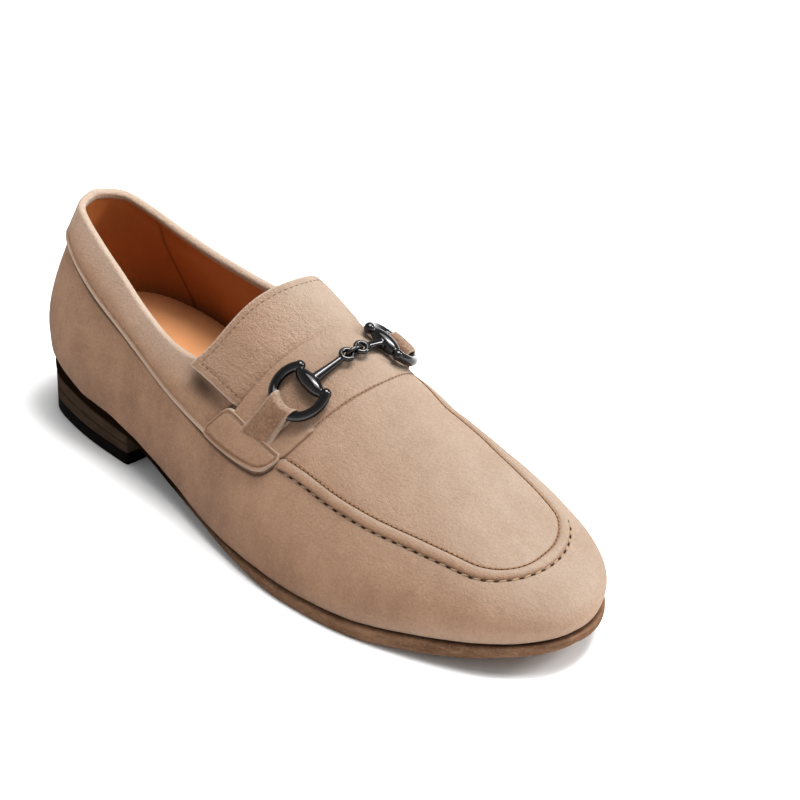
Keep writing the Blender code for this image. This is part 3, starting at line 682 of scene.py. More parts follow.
def sole_edge(name, pale, deep, layers):
    recipe = Recipe(name, roughness=0.7, Specular_IOR_Level=0.0)
    fibres = recipe.ramp(recipe.noise(300.0, 5.0, (0.4, 0.4, 1.8), rough=0.7), 0.3, 0.7)
    scuffs = recipe.ramp(recipe.noise(900.0, 3.0), 0.55, 0.75)
    clouds = recipe.ramp(recipe.noise(30.0, 2.0), 0.3, 0.7)
    tone = recipe.mix(fibres * 0.6 + clouds * 0.4, deep, pale)
    if layers:
        tone = recipe.mix(scuffs * 0.35, tone, SCUFF_PALE)
        # painted shade: from the heel to the waist the sole is nearly black, where it lies in shadow
        tone = recipe.mix(recipe.number("toe_share"), tuple(0.09 * c for c in deep), tone)
    relief = recipe.bump(fibres * 0.6 + scuffs * 0.4, 0.5, 0.0006)
    return recipe.done(tone, relief, Roughness=0.62 + fibres * 0.2)


outsole_leather = sole_edge("outsole_leather", (0.23, 0.128, 0.076), (0.060, 0.029, 0.015), True)
lift_leather = sole_edge("lift_leather", (0.056, 0.037, 0.026), (0.020, 0.012, 0.008), False)


def rubber():
    recipe = Recipe("top_lift_rubber", roughness=0.6, Specular_IOR_Level=0.01)
    dust = recipe.ramp(recipe.noise(300.0, 3.0), 0.4, 0.8)
    tone = recipe.mix(dust, (0.002, 0.0016, 0.0014), (0.006, 0.005, 0.0045))
    return recipe.done(tone, recipe.bump(dust, 0.1, 0.0003), Roughness=0.55 + dust * 0.25)


def gunmetal():
    recipe = Recipe("polished_gunmetal", roughness=0.12, Metallic=1.0)
    smear = recipe.ramp(recipe.noise(160.0, 3.0), 0.35, 0.75)
    tone = recipe.mix(smear, (0.036, 0.035, 0.0355), (0.050, 0.048, 0.049))
    return recipe.done(tone, recipe.bump(smear, 0.02, 0.0002), Roughness=0.05 + smear * 0.05)


def thread(name, colour):
    recipe = Recipe(name, roughness=0.85, Specular_IOR_Level=0.1)
    twist = recipe.ramp(recipe.noise(1800.0, 2.0), 0.3, 0.7)
    tone = recipe.mix(twist, tuple(0.6 * c for c in colour), colour)
    return recipe.done(tone, recipe.bump(twist, 0.4, 0.0002))


top_lift_rubber = rubber()
polished_gunmetal = gunmetal()
sand_thread = thread("sand_thread", (0.33, 0.22, 0.135))
tan_thread = thread("tan_thread", (0.27, 0.135, 0.062))
tongue_stitch = thread("tongue_stitch", (0.15, 0.096, 0.064))
# needle holes: dark flat marks, painted shade inside the holes
shade_in_holes = thread("stitch_hole_shade", (0.036, 0.016, 0.008))
strap_edge_hole_shade = thread("strap_hole_shade", (0.11, 0.058, 0.034))
print("finishes made:", len(bpy.data.materials))

# %% [markdown]
# ## Creases
# Suede gives where the foot bends, and even a new shoe's wall is never quite flat. A simulation would
# fold it in chance places, so the main creases are listed in a table instead: each is a soft trough or
# ridge with a place on the last, a length, a width, a turn and a depth.

# %% Creases
CREASE = table(
    "side along height length width turn depth",
    (-1, 62.0, 0.30, 34.0, 9.0, 60.0, -0.55),
    (-1, 66.5, 0.28, 30.0, 7.0, 75.0, -0.45),
    (-1, 71.0, 0.25, 26.0, 7.0, 80.0, -0.35),
    (-1, 47.0, 0.16, 40.0, 10.0, 20.0, -0.60),
    (-1, 33.0, 0.30, 42.0, 12.0, 30.0, -0.55),
    (-1, 14.0, 0.30, 30.0, 10.0, 10.0, 0.35),
    (-1, 27.0, 0.14, 34.0, 8.0, 8.0, -0.40),
    (1, 62.0, 0.34, 36.0, 9.0, 75.0, -0.60),
    (1, 67.0, 0.32, 32.0, 8.0, 90.0, -0.50),
    (1, 44.0, 0.25, 40.0, 12.0, 20.0, -0.60),
    (1, 22.0, 0.30, 34.0, 10.0, 15.0, -0.35),
    (-1, 64.0, 0.86, 30.0, 9.0, 85.0, -0.35),
    (1, 66.0, 0.84, 30.0, 9.0, 95.0, -0.30),
    (-1, 76.0, 0.90, 36.0, 14.0, 40.0, 0.25),
)
SECTION_LENGTH = 95.0
RIPPLE = 0.10


def crease_height(side, along, v):
    """Height of the listed troughs and ridges at places on the last."""
    total = np.zeros(np.broadcast(along, v).shape)
    for k in range(len(CREASE["along"])):
        if CREASE["side"][k] != SIGN[side]:
            continue
        turn = np.radians(CREASE["turn"][k])
        a = (along - CREASE["along"][k]) * LENGTH / 100
        b = (v - CREASE["height"][k]) * SECTION_LENGTH
        run = (a * np.cos(turn) + b * np.sin(turn)) / CREASE["length"][k]
        beside = (-a * np.sin(turn) + b * np.cos(turn)) / CREASE["width"][k]
        total += CREASE["depth"][k] * np.exp(-2 * run**2 - 2 * beside**2)
    ripple = np.sin(along * 0.9 + 3 * v) * np.sin(v * 9 + along * 0.31)
    return total + RIPPLE * ripple


print("creases placed:", len(CREASE["along"]))

# %% [markdown]
# ## The apron's roll and the padded collar
# The apron is sewn to the wall with a rolled seam: a round ridge, a stitched groove on both sides, and
# the apron a step higher than the wall. It is a height over the last, worked out from the distance to
# the seam. The collar has padding under it, so it swells below the rim and leans in at the top.

# %% Roll and rim
ROLL_HALF = 2.3
ROLL_HEIGHT = 1.6
ROLL_REACH = 3.6
ROLL_EASE = {"lateral": (0.0, 0.4), "medial": (0.35, 14.0)}
GROOVE_AT = 2.6
GROOVE_BOTTOM = 2.55
WALL_GROOVE = 0.4
APRON_GROOVE = 0.22
APRON_STEP = 0.7
APRON_FADE = 14.0
RIM_LEAN = 0.4
HEEL_FULLER = 1.4
PADDING = 1.0
roll_places = np.linspace(-ROLL_REACH, ROLL_REACH, 25)


def roll_profile(x):
    """The rolled seam in section: a round ridge above the wall, then the apron, a step higher."""
    step = APRON_STEP * (x > 0)
    bead = step + (ROLL_HEIGHT - step) * np.clip(1 - (x / ROLL_HALF)**2, 0, 1)**0.6
    groove = WALL_GROOVE if x < 0 else APRON_GROOVE
    return bead - groove * np.exp(-((np.abs(x) - GROOVE_BOTTOM) / 0.45)**2)


def seam_frame(side, alongs):
    seam = np.minimum(v_seam(side, alongs), v_rim(side, alongs) - 0.12)
    small = 1e-3
    speed = np.linalg.norm(last(side, alongs, seam + small) - last(side, alongs, seam), axis=-1) / small
    first, ease = ROLL_EASE[side]
    fade = np.clip(first + (1 - first) * (alongs - ROLL_START) / ease, 0, 1) * (alongs >= ROLL_START)
    return seam, speed, fade


def rim_lean(side, alongs, v):
    """How far the padded collar leans in towards the foot near its rim."""
    down = v_rim(side, alongs) - v
    lean = RIM_LEAN * np.clip(1 - down / 0.1, 0, 1)**2 - PADDING * np.exp(-((down - 0.12) / 0.06)**2)
    lean = lean * np.clip((THROAT - 3 - alongs) / 6, 0, 1) * np.clip(alongs / 8, 0.25, 1)
    return lean - HEEL_FULLER * np.clip(v / 0.7, 0, 1)**1.5 * np.clip((13 - alongs) / 9, 0, 1)


print("roll and apron heights:", roll_profile(0.0), roll_profile(ROLL_REACH))

# %% [markdown]
# ## The upper
# One grid wraps the whole shoe from the inner side of the toe, round the heel, to the outer side. Its
# rows crowd at the apron seam. The lower edge hangs over the sole in a slight wave, which the SAG table
# gives in millimetres. Solidify then adds the wall's thickness, with the lining's finish inside.

# %% Sides of the upper
WALL = 1.5
WALL_ROWS = 26
TOP_ROWS = 30
SAG = table(
    "along drop",
    (0.0, 0.0),
    (5.0, 0.0),
    (8.3, 1.4),
    (12.7, 2.7),
    (16.0, 1.4),
    (19.2, 0.0),
    (22.7, 0.4),
    (25.2, 0.9),
    (34.0, 1.2),
    (40.0, 1.0),
    (46.0, 0.6),
    (54.0, 0.0),
    (100.0, 0.0),
)
edge_drop = column(SAG, "drop")


def upper_side(side, alongs):
    seam, speed, fade = seam_frame(side, alongs)
    rim = v_rim(side, alongs)
    below = seam - ROLL_REACH / speed
    above = seam + ROLL_REACH / speed
    v = [below * k for k in np.linspace(0, 1, WALL_ROWS, endpoint=False)**1.25]
    rise = [0 * seam for _ in v]
    groove = [0 * seam for _ in v]
    behind = alongs < ROLL_START
    toe_share = np.clip((alongs - 60) / 30, 0, 1)
    for x in roll_places:
        v.append(seam + x / speed)
        rise.append(roll_profile(x) * fade)
        # painted shade: the roll's stitched grooves are darkened, more on the wall's side; behind the roll
        # a painted shadow lies just below the band's and tab's lower edges
        depth = 0.85 - 0.35 * toe_share if x < 0 else 0.2 + 0 * toe_share
        stitched = depth * np.exp(-((np.abs(x) - GROOVE_AT) / 0.42)**2)
        shadow_below_trim = 0.95 * np.exp(-((x + 1.4) / 0.9)**2)
        groove.append(np.where(behind, shadow_below_trim, fade * stitched))
    for k in np.linspace(0, 1, TOP_ROWS + 1)[1:]:
        v.append(above + (rim - above) * k)
        rise.append(APRON_STEP * fade * np.exp(-((v[-1] - above) * speed / APRON_FADE)**2))
        groove.append(0 * seam)
    v = np.array(v)
    foot = np.linalg.norm(last(side, alongs, v) - last(side, alongs, 0 * v), axis=-1)
    heel_share = np.clip((40 - alongs) / 18, 0, 1)
    turn_under = 0.8 * np.clip(1 - foot / 1.5, 0, 1)**2
    drop = edge_drop(alongs)
    hanging = np.maximum(heel_share, np.clip(drop, 0, 1))
    over_edge = (0.6 + tuck(alongs)) * hanging * np.clip(1 - foot / 9, 0, 1)
    lift = np.array(rise) + crease_height(side, alongs, v) - turn_under + over_edge
    points = lifted(side, alongs, v, lift - rim_lean(side, alongs, v))
    points[..., 2] -= drop * np.clip(1 - foot / 16, 0, 1)**1.5
    # painted light: a paler band along the sole line at the toe, for floor light bounced up
    pale = 0.45 * np.exp(-(foot / 8)**2) * toe_share
    # painted shade: the wall is darker low down, fading out towards the toe
    low_shade = 0.18 * np.exp(-(foot / 20)**2) * (1 - toe_share)
    return points, np.array(groove) + low_shade, v, pale


alongs = np.concatenate([even_alongs(0, ROLL_START - 0.1, 130), even_alongs(ROLL_START + 0.1, 100, 98)])
inner_points, inner_shade, inner_v, inner_painted_light = upper_side("medial", alongs)
outer_points, outer_shade, outer_v, outer_painted_light = upper_side("lateral", alongs)
print("columns from heel to toe:", len(alongs))

# %% [markdown]
# ## Joining both sides
# In front of the throat the two sides meet at the crest. The rows near it are evened out across the
# middle, so no ridge shows there. The heel grip is a second piece of lining; its front edge is a seam
# that bows towards the heel, kept as an attribute for the lining's finish.

# %% The whole upper
GRIP_AT = 8.3
GRIP_BOW = 26.0


def round_heel(inner, outer):
    """Both sides as one sheet, from the inner side's front round the heel to the outer side's."""
    return np.concatenate([inner[:, ::-1], outer[:, 1:]], 1)


top_count = TOP_ROWS + 1
closed = alongs >= THROAT
over_crest = np.concatenate([outer_points[-top_count:, closed], inner_points[-2:-top_count - 1:-1, closed]])
crest_weight = np.clip(1.6 * np.sin(np.linspace(0, np.pi, len(over_crest))) - 0.3, 0, 1)
over_crest = soften(over_crest, 0, crest_weight[:, None] + 0 * over_crest[..., 0], 60)
outer_points[-top_count:, closed] = over_crest[:top_count]
inner_points[-top_count:, closed] = over_crest[top_count - 1:][::-1]
skin_points = round_heel(inner_points, outer_points)
skin_shade = round_heel(inner_shade, outer_shade)
skin_painted_light = round_heel(inner_painted_light, outer_painted_light)
skin_v = round_heel(inner_v, outer_v)
skin_along = np.concatenate([alongs[::-1], alongs[1:]])
grip_line = GRIP_AT + GRIP_BOW * (skin_v - 0.5)**2
grip_seam = 0.7 * np.exp(-((skin_along - grip_line) / 0.25)**2)

upper = laid_grid("upper_suede", skin_points, groove=skin_shade, pale=skin_painted_light, lining_seam=grip_seam)
weld(upper, recalculate=False)
wear(upper, "sand_suede", suede_skin, lining_leather, node="upper")
apply_modifier(upper, "SOLIDIFY", thickness=WALL * MM, offset=-1.0, use_even_offset=False,
               material_offset=1, material_offset_rim=1)

# %% [markdown]
# ## Pieces laid on the upper
# Collar band, tongue, strap and tabs are cut from the same hide and lie on the upper. Each is a pair
# of grids, a rounded top and a flat underside, welded at the cut edge. The distance to the edge is
# kept as an attribute: the finish shows the paler raw edge with it, and a stitched line sinks there.

# %% Laid pieces
def on_last(sides, alongs, v, lift):
    outer = lifted("lateral", alongs, v, lift)
    inner = lifted("medial", alongs, v, lift)
    return np.where((sides < 0)[..., None], outer, inner)


def edge_distances(points):
    across = np.linalg.norm(np.diff(points, axis=1), axis=2)
    left = np.concatenate([np.zeros((len(points), 1)), np.cumsum(across, 1)], 1)
    along = np.linalg.norm(np.diff(points, axis=0), axis=2)
    near = np.concatenate([np.zeros((1, points.shape[1])), np.cumsum(along, 0)], 0)
    return {"left": left, "right": left[:, -1:] - left, "near": near, "far": near[-1:] - near}


def laid_piece(name, grid, low, high, cut, rounding=0.9, stitch=None, sink=0.25, extra=0.0,
               fringe=1.0, over_crest=False, **numbers):
    """A closed sheet on the last with rounded cut edges, with its top points and edge distances."""
    sides, alongs, v = grid
    distance = edge_distances(on_last(sides, alongs, v, 0.0 * v))
    to_edge = np.min([distance[label] for label in cut], axis=0)
    share = np.clip(to_edge / rounding, 0, 1)
    lift = low + (high - low) * np.sqrt(1 - (1 - share)**2) + extra
    if stitch:
        lift = lift - sink * np.exp(-((to_edge - stitch) / 0.6)**2)
    over = on_last(sides, alongs, v, lift)
    under = on_last(sides, alongs, v, low + 0.0 * v + extra)
    if over_crest:
        middle = (v.shape[1] - 1) / 2
        weight = np.exp(-((np.arange(v.shape[1]) - middle) / 16)**2) + 0 * v
        over = soften(over, 1, weight, 60)
        under = soften(under, 1, weight, 60)
    top = laid_grid(name, over, edge_mm=to_edge * fringe, **numbers)
    bottom = laid_grid(name + "_under", under, edge_mm=to_edge * fringe, **numbers)
    return weld(join([top, bottom], name)), {"points": over, "under": under, **distance}


STRAP_UNDER_TAB = 1.4


def crossing(rear, front, low_v, rows, cols):
    """Sides, alongs and v of a piece that crosses the instep from the outer to the inner edge."""
    share = crowd(2 * cols)
    up = np.where(share < 0.5, 2 * share, 2 - 2 * share)
    sides = np.where(share < 0.5, -1.0, 1.0)
    bend = 0.1
    eased = 1 - (np.sqrt((1 - up)**2 + bend**2) - bend) / (np.sqrt(1 + bend**2) - bend)
    part = crowd(rows)[:, None]
    alongs = rear(eased) + (front(eased) - rear(eased)) * part
    low = np.where(sides < 0, low_v("lateral", alongs), low_v("medial", alongs))
    return np.broadcast_to(sides, alongs.shape), alongs, low + (1 - low) * up


def strap_rear(share):
    return STRAP_REAR + STRAP_REAR_BOW * share**0.8


def strap_front(share):
    return STRAP_FRONT + STRAP_FRONT_BOW * share**0.55


def tongue_top(share):
    return TONGUE_TOP + TONGUE_TOP_BOW * share**0.85


def tongue_low(side, alongs):
    return v_at_height(side, alongs, tongue_edge[side](alongs))


def strap_low(side, alongs):
    return v_at_height(side, alongs, tab_edge["high"](alongs) + TAB_RAISE[side] - STRAP_UNDER_TAB)


print("strap depth at the crest:", round((strap_front(1.0) - strap_rear(1.0)) * LENGTH / 100, 1), "mm")

# %% [markdown]
# ## Tongue and saddle strap
# Both cross the instep from the outer to the inner side. The tongue stands free at its sides, so it
# springs up there, and its cut edge and nap are coarse. The strap is flatter; its front edge is skived,
# which means pared thin, and slopes down to the apron. Both are evened out over the crest.

# %% Tongue and saddle strap
TONGUE_THICK = 1.8
TONGUE_STITCH = 4.0
TONGUE_SPRING = 3.4
TONGUE_SKIVE = 1.5
SIDE_SHADE = 0.22
STRAP_THICK = 1.6
STRAP_SKIVE = 1.3
STRAP_EDGE_DROP = 1.4
tongue_grid = crossing(tongue_top, lambda k: strap_rear(k) + 0.5, tongue_low, 60, 70)
flat_gaps = edge_distances(on_last(*tongue_grid, 0.0 * tongue_grid[2]))
to_side = np.minimum(flat_gaps["left"], flat_gaps["right"])
sprung = TONGUE_SPRING * np.exp(-(to_side / 9)**2) * np.clip(flat_gaps["far"] / 20, 0, 1)**0.8
side_shade = SIDE_SHADE * np.clip(1 - flat_gaps["left"] / 32, 0, 1)
front_skive = TONGUE_SKIVE * np.clip(1 - flat_gaps["far"] / 4.5, 0, 1)**1.5
front_skive *= np.clip((60 - flat_gaps["left"]) / 25, 0.45, 1)
tongue, tongue_gaps = laid_piece("tongue_suede", tongue_grid, GAP, GAP + TONGUE_THICK,
                                 ("left", "right", "near"), rounding=1.8, stitch=TONGUE_STITCH,
                                 extra=sprung - front_skive, fringe=0.55, over_crest=True,
                                 groove=side_shade)
wear(tongue, "sand_suede", suede_tongue, node="tongue")

strap_grid = crossing(strap_rear, strap_front, strap_low, 50, 70)
flat_gaps = edge_distances(on_last(*strap_grid, 0.0 * strap_grid[2]))
flap = np.clip((flat_gaps["left"] - 17) / 2, 0, 1)
front_slope = STRAP_SKIVE * flap * np.clip(1 - flat_gaps["far"] / 8, 0, 1)**1.3
front_slope += STRAP_EDGE_DROP * flap * np.clip((1.5 - flat_gaps["far"]) / 0.5, 0, 1)
# painted shade: a dark line along the strap's rear edge where the tongue slips under it, one along its
# flush front edge and a faint one on the flap
rear_shadow_line = 0.6 * np.exp(-(flat_gaps["near"] / 0.5)**2) * np.clip((46 - flat_gaps["left"]) / 14, 0, 1)
strap_shade = rear_shadow_line + 0.3 * (1 - flap) * np.exp(-(flat_gaps["far"] / 0.4)**2)
strap_shade += 0.08 * flap * np.exp(-((flat_gaps["far"] - 1.3) / 0.3)**2)
strap, strap_gaps = laid_piece("saddle_strap_suede", strap_grid, GAP, GAP + STRAP_THICK,
                               ("left", "right", "near", "far"), rounding=0.8, extra=-front_slope,
                               over_crest=True, groove=strap_shade)
wear(strap, "sand_suede", suede_strap, node="saddle_strap")

# %% [markdown]
# ## Tabs
# A tab covers each end of the strap and holds the bit's loop. It is a small sheet with a stitched line
# all round, pressed in by the thread: the line sinks in the mesh, and painted shade darkens it a little.

# %% Tabs
TAB_THICK = 1.5
TAB_STITCH = 1.9


def tab_grid(side):
    first, stop = TAB["along"][[0, -1]]
    alongs = np.broadcast_to(first + (stop - first) * crowd(70), (30, 70))
    low = v_at_height(side, alongs, tab_edge["low"](alongs) + TAB_RAISE[side])
    high = v_at_height(side, alongs, tab_edge["high"](alongs) + TAB_RAISE[side])
    v = low + (high - low) * crowd(30)[:, None]
    return np.full(alongs.shape, SIGN[side]), alongs, v


tab_gaps = {}
for side in SIGN:
    grid = tab_grid(side)
    raised = 0.7 * np.exp(-((grid[1] - TAB["along"][0]) / 2.2)**2) + 0.3
    to_cut = np.min(list(edge_distances(on_last(*grid, 0.0 * grid[2])).values()), axis=0)
    # painted shade along the stitched line
    tab, tab_gaps[side] = laid_piece("tab_suede_" + side, grid, GAP, GAP + TAB_THICK,
                                     ("left", "right", "near", "far"), rounding=0.7, stitch=TAB_STITCH,
                                     sink=0.5, extra=raised,
                                     groove=0.5 * np.exp(-((to_cut - 2.0) / 0.35)**2))
    wear(tab, "sand_suede", suede_trim, node="tab_" + side)

# %% [markdown]
# ## The collar band
# A strip of suede is stitched low on the quarter, brought up and turned over the topline, so the rim
# of the shoe is a soft roll. The section first climbs the last and then goes over the rim in a half
# circle, down to the lining. At its front end the band goes under the tongue, whose lower corner
# presses a soft dent into it.

# %% Collar band
BAND_LOW = GAP
BAND_HIGH = GAP + 1.3
BAND_WALL = 0.7
BAND_STITCH = 2.6
BAND_STITCH_SINK = 0.25
BAND_EDGE_SWELL = 0.4
BAND_END_PARED = 0.9
RIM_REACH = 3.6
DENT_AT = 39.2
DENT_DEPTH = 1.4


def band_limits(side, alongs):
    """The band's lower and upper v: its top runs along the rim and then under the tongue."""
    seam = v_seam(side, alongs)
    rim = v_rim(side, alongs)
    under_tongue = v_at_height(side, alongs, tongue_edge[side](alongs) + 3.5)
    blend = np.clip((alongs - TONGUE_TOP - 0.8) / 2.0, 0, 1)
    return seam, rim + (np.minimum(rim, under_tongue) - rim) * blend, 1 - blend


def tongue_dent(side, alongs, v):
    """Where the tongue's lower corner presses into the band: 1 in the middle of the dent."""
    tall = last(side, alongs, v)[..., 2] - tongue_edge[side](alongs) + 3.4
    reach = np.where(alongs < DENT_AT, 2.4, 4.4)
    return np.exp(-(tall / 3.8)**2 - ((alongs - DENT_AT) / reach)**2)


def over_rim(side, alongs, high, turn, free):
    """The way from the band's outer face over the rim's roll and down to the lining."""
    below = high - 0.01
    normal = outward(side, alongs, high)
    climb_way = last(side, alongs, np.clip(high + 0.01, 0, 1)) - last(side, alongs, below)
    climb_way /= np.linalg.norm(climb_way, axis=-1, keepdims=True)
    lean = rim_lean(side, alongs, high) - rim_lean(side, alongs, below)
    lean = lean / np.linalg.norm(last(side, alongs, high) - last(side, alongs, below), axis=-1)
    tilt = np.arctan(lean)[..., None]
    normal, climb_way = (normal * np.cos(tilt) + climb_way * np.sin(tilt),
                         climb_way * np.cos(tilt) - normal * np.sin(tilt))
    radius = RIM_REACH / 2
    swing = np.pi * np.clip(turn * 1.25, 0, 1)
    down = 2.2 * np.clip(turn - 0.8, 0, 1) / 0.2
    rise = (np.sin(swing) * radius * 0.8 - down) * free
    aside = (np.cos(swing) - 1) * radius * free - (1 - free) * 1.3 * np.clip(turn * 3, 0, 1)
    return normal * aside[..., None] + climb_way * rise[..., None]


def band_side(side):
    """Rows climb from the cut edge to the rim and over it; columns run from the heel forward."""
    climb = np.concatenate([[0, 0], np.linspace(0.012, 0.08, 6), np.linspace(0.1, 1, 26), np.ones(14)])
    over = np.concatenate([np.zeros(34), np.linspace(0, 1, 15)[1:]])
    rows, marks, shades, painted_lights = [], [], [], []
    for k, (share, turn) in enumerate(zip(climb, over)):
        stop = BAND_END + BAND_LEAN * np.clip((share - 0.2) / 0.75, 0, 1) + 1.0
        alongs = even_alongs(0, stop, 120)
        low, high, free = band_limits(side, alongs)
        v = low + (high - low) * share
        length = np.linalg.norm(last(side, alongs, high) - last(side, alongs, low), axis=-1)
        to_edge = length * share
        round_off = np.sqrt(1 - (1 - np.clip((to_edge + 0.15) / 0.7, 0, 1))**2)
        lift = BAND_LOW + (BAND_HIGH - BAND_LOW) * (round_off if k else 0 * round_off)
        lift = lift - BAND_END_PARED * np.clip(1 - (stop - alongs) / 1.6, 0, 1)**2
        lift = lift + BAND_EDGE_SWELL * np.exp(-((to_edge - 1.0) / 0.8)**2)
        lift = lift - BAND_STITCH_SINK * np.exp(-((to_edge - BAND_STITCH) / 0.6)**2)
        dent = tongue_dent(side, alongs, v)
        point = lifted(side, alongs, v, lift - DENT_DEPTH * dent - rim_lean(side, alongs, v))
        if turn > 0:
            point = point + over_rim(side, alongs, high, turn, free)
        near_rim = np.clip(1 - (length - to_edge) / 12, 0, 1)
        rows.append(point)
        marks.append(0.42 * to_edge + 20 * turn)
        shades.append(0.3 * np.exp(-((to_edge - BAND_STITCH) / 0.35)**2) + 0.88 * dent)
        # painted highlight: the band is paler towards its rim, fading out before the throat
        painted_lights.append(0.6 * near_rim * np.clip((THROAT - 4 - alongs) / 6, 0, 1))
    return np.array(rows), np.array(marks), np.array(shades), np.array(painted_lights)


band_points, band_mark, band_shade, band_painted_light = map(round_heel, band_side("medial"), band_side("lateral"))
band_points = soften(band_points, 1, np.ones(band_points.shape[:2]), 24)
band = laid_grid("collar_band_suede", band_points, edge_mm=band_mark, groove=band_shade, pale=band_painted_light)
weld(band, recalculate=False)
apply_modifier(band, "SOLIDIFY", thickness=BAND_WALL * MM, offset=-1.0, use_even_offset=False)
wear(band, "sand_suede", suede_band, node="collar_band")

# %% [markdown]
# ## The outsole
# Outsole, heel lifts and insole are lofts: at every station a closed section runs over the top, down one
# edge, back underneath and up the other edge. At heel and toe the section closes to a line, so the
# outline comes out round. The outsole's edge is rounded off more in the waist, where a shoemaker pares
# it, and its underside is drawn a little lower there.

# %% Lofts
def loft(name, alongs, profile, crown=0.0, cap=False, **numbers):
    """A closed body from sections. profile gives (inset, height) pairs from bottom to top."""
    levels = profile(alongs)
    lateral, medial = ([np.column_stack([edge(side, alongs, i)[0], z + 0 * alongs]) for i, z in levels]
                       for side in SIGN)
    spread = np.linspace(0, 1, 14)[1:-1]
    under = [lateral[0] + (medial[0] - lateral[0]) * k for k in spread]
    over = []
    for k in spread[::-1]:
        row = lateral[-1] + (medial[-1] - lateral[-1]) * k
        row[:, 2] += crown * np.sin(np.pi * k)**0.7
        over.append(row)
    section = np.array(under + medial + over + lateral[::-1] + under[:1])
    marks = {label: np.broadcast_to(values, section.shape[:2]) for label, values in numbers.items()}
    if cap:
        middle = section[:, -1:].mean(0, keepdims=True)
        rings = [section[:, -1:] + (middle - section[:, -1:]) * k for k in (0.04, 0.3, 0.65, 1.0)]
        section = np.concatenate([section] + rings, 1)
        marks = {label: np.pad(values, ((0, 0), (0, 4)), "edge") for label, values in marks.items()}
    return weld(laid_grid(name, section, **marks), 5e-6)


HEEL_BREAST = 22.5
WAIST_AT = 33
WAIST_REACH = 8
WAIST_SINK = 3.0


def outsole_profile(alongs):
    top = feather(alongs) - GAP
    waist = np.exp(-((alongs - WAIST_AT) / WAIST_REACH)**2) * (alongs > HEEL_BREAST)
    low = tread(alongs) - WAIST_SINK * waist
    tall = top - low
    cut = bevel(alongs)
    steps = ((1.0, 0.0), (0.62, 0.05), (0.34, 0.14), (0.15, 0.27), (0.03, 0.42), (0.0, 0.6), (0.0, 0.78))
    levels = [(cut * i, low + tall * z) for i, z in steps]
    levels += [(0.12 + 0 * alongs, low + tall * 0.9), (0.45 + 0 * alongs, low + tall * 0.97)]
    return levels + [(1.0 + 0 * alongs, top)]


sole_alongs = even_alongs(0, 100, 150)
# behind this share towards the toe, the sole gets painted shade
toe_share = np.clip((sole_alongs - 34) / 26, 0, 1)
outsole = loft("outsole_leather", sole_alongs, outsole_profile, toe_share=toe_share)
wear(outsole, "sole_leather", outsole_leather, node="outsole")

# %% [markdown]
# ## Heel lifts
# The heel is a stack: a black rubber top lift on the floor and two leather lifts above it. Each is one
# loft of the sole's outline, cut off flat at the breast, with softened edges, so that fine dark lines
# show between the layers.

# %% Heel lifts
TOP_LIFT = 5.5
HEEL_TAPER = 0.1
LIFT_INSET = 0.3


def lift_profile(low, high):
    def profile(alongs):
        z0 = low(alongs)
        z1 = high(alongs)
        near_breast = np.clip((alongs - HEEL_BREAST + 0.8) / 0.8, 0, 1)
        corner = 1.0 * (1 - np.sqrt(1 - near_breast**2))
        levels = []
        for inset, z in ((0.55, z0), (0.18, z0 + 0.18), (0.0, z0 + 0.55),
                         (0.0, z1 - 0.55), (0.18, z1 - 0.18), (0.55, z1)):
            levels.append((inset + LIFT_INSET + corner + HEEL_TAPER * (1 - z / HEEL_HEIGHT), z))
        return levels
    return profile


def floor_level(alongs):
    return 0 * alongs


def stack_middle(alongs):
    return (TOP_LIFT + tread(alongs) - GAP) / 2


near_breast = HEEL_BREAST - 0.8 * (1 - crowd(24)[12:])
heel_alongs = np.concatenate([even_alongs(0, HEEL_BREAST - 0.9, 64), near_breast])
heel_layers = (
    ("heel_top_lift", floor_level, lambda a: floor_level(a) + TOP_LIFT, top_lift_rubber, "black_rubber"),
    ("heel_lift_1", lambda a: floor_level(a) + TOP_LIFT + 0.1, lambda a: stack_middle(a) - 0.05,
     lift_leather, "sole_leather"),
    ("heel_lift_2", lambda a: stack_middle(a) + 0.1, lambda a: tread(a) - 0.1,
     lift_leather, "sole_leather"),
)
for node, low, high, finish, slot in heel_layers:
    lift_piece = loft(node + "_block", heel_alongs, lift_profile(low, high), cap=True)
    bpy.ops.object.shade_smooth_by_angle(angle=np.radians(50))
    wear(lift_piece, slot, finish, node=node)

# %% [markdown]
# ## Insole
# Inside lies a board with filling and a thin leather sock on top. Only the sock shows, so one loft with
# a slightly dished top stands for all three.

# %% Insole
SOCK_INSET = 2.6


def insole_profile(alongs):
    inset = tuck(alongs) + SOCK_INSET
    base = feather(alongs) + GAP
    crown = feather(alongs) + insole_rise(alongs)
    return [(inset, base), (inset, crown - 1.4), (inset + 0.25, crown - 0.5), (inset + 0.9, crown)]


insole = loft("insole_sock", sole_alongs, insole_profile, crown=-1.2)
wear(insole, "tan_leather", sock_leather, node="insole")

# %% [markdown]
# ## Where the bit lies
# The bit lies on the strap, so each of its pieces gets a seat: a flat frame that touches the last at one
# place, with u to the toe, w to the crest and n outwards. A piece is modelled flat at the origin, and the
# seat's matrix then puts its mesh in place.

# %% Seats on the instep
RING_LIFT = 4.9
LINK_LIFT = 4.6
RING_RADIUS = 10.9
RING_WIRE = 2.1
BARREL_CHORD = 5.2
EYE_AT = 3.7
EYE_RADIUS = 2.4
EYE_WIRE = 1.1
LINK_RISE = 1.8
LINK_WIRE = 0.8
RING_SEAT = {"lateral": (55.0, 0.69), "medial": (55.4, 0.76)}
LINK_SEAT = (56.2, 0.97)


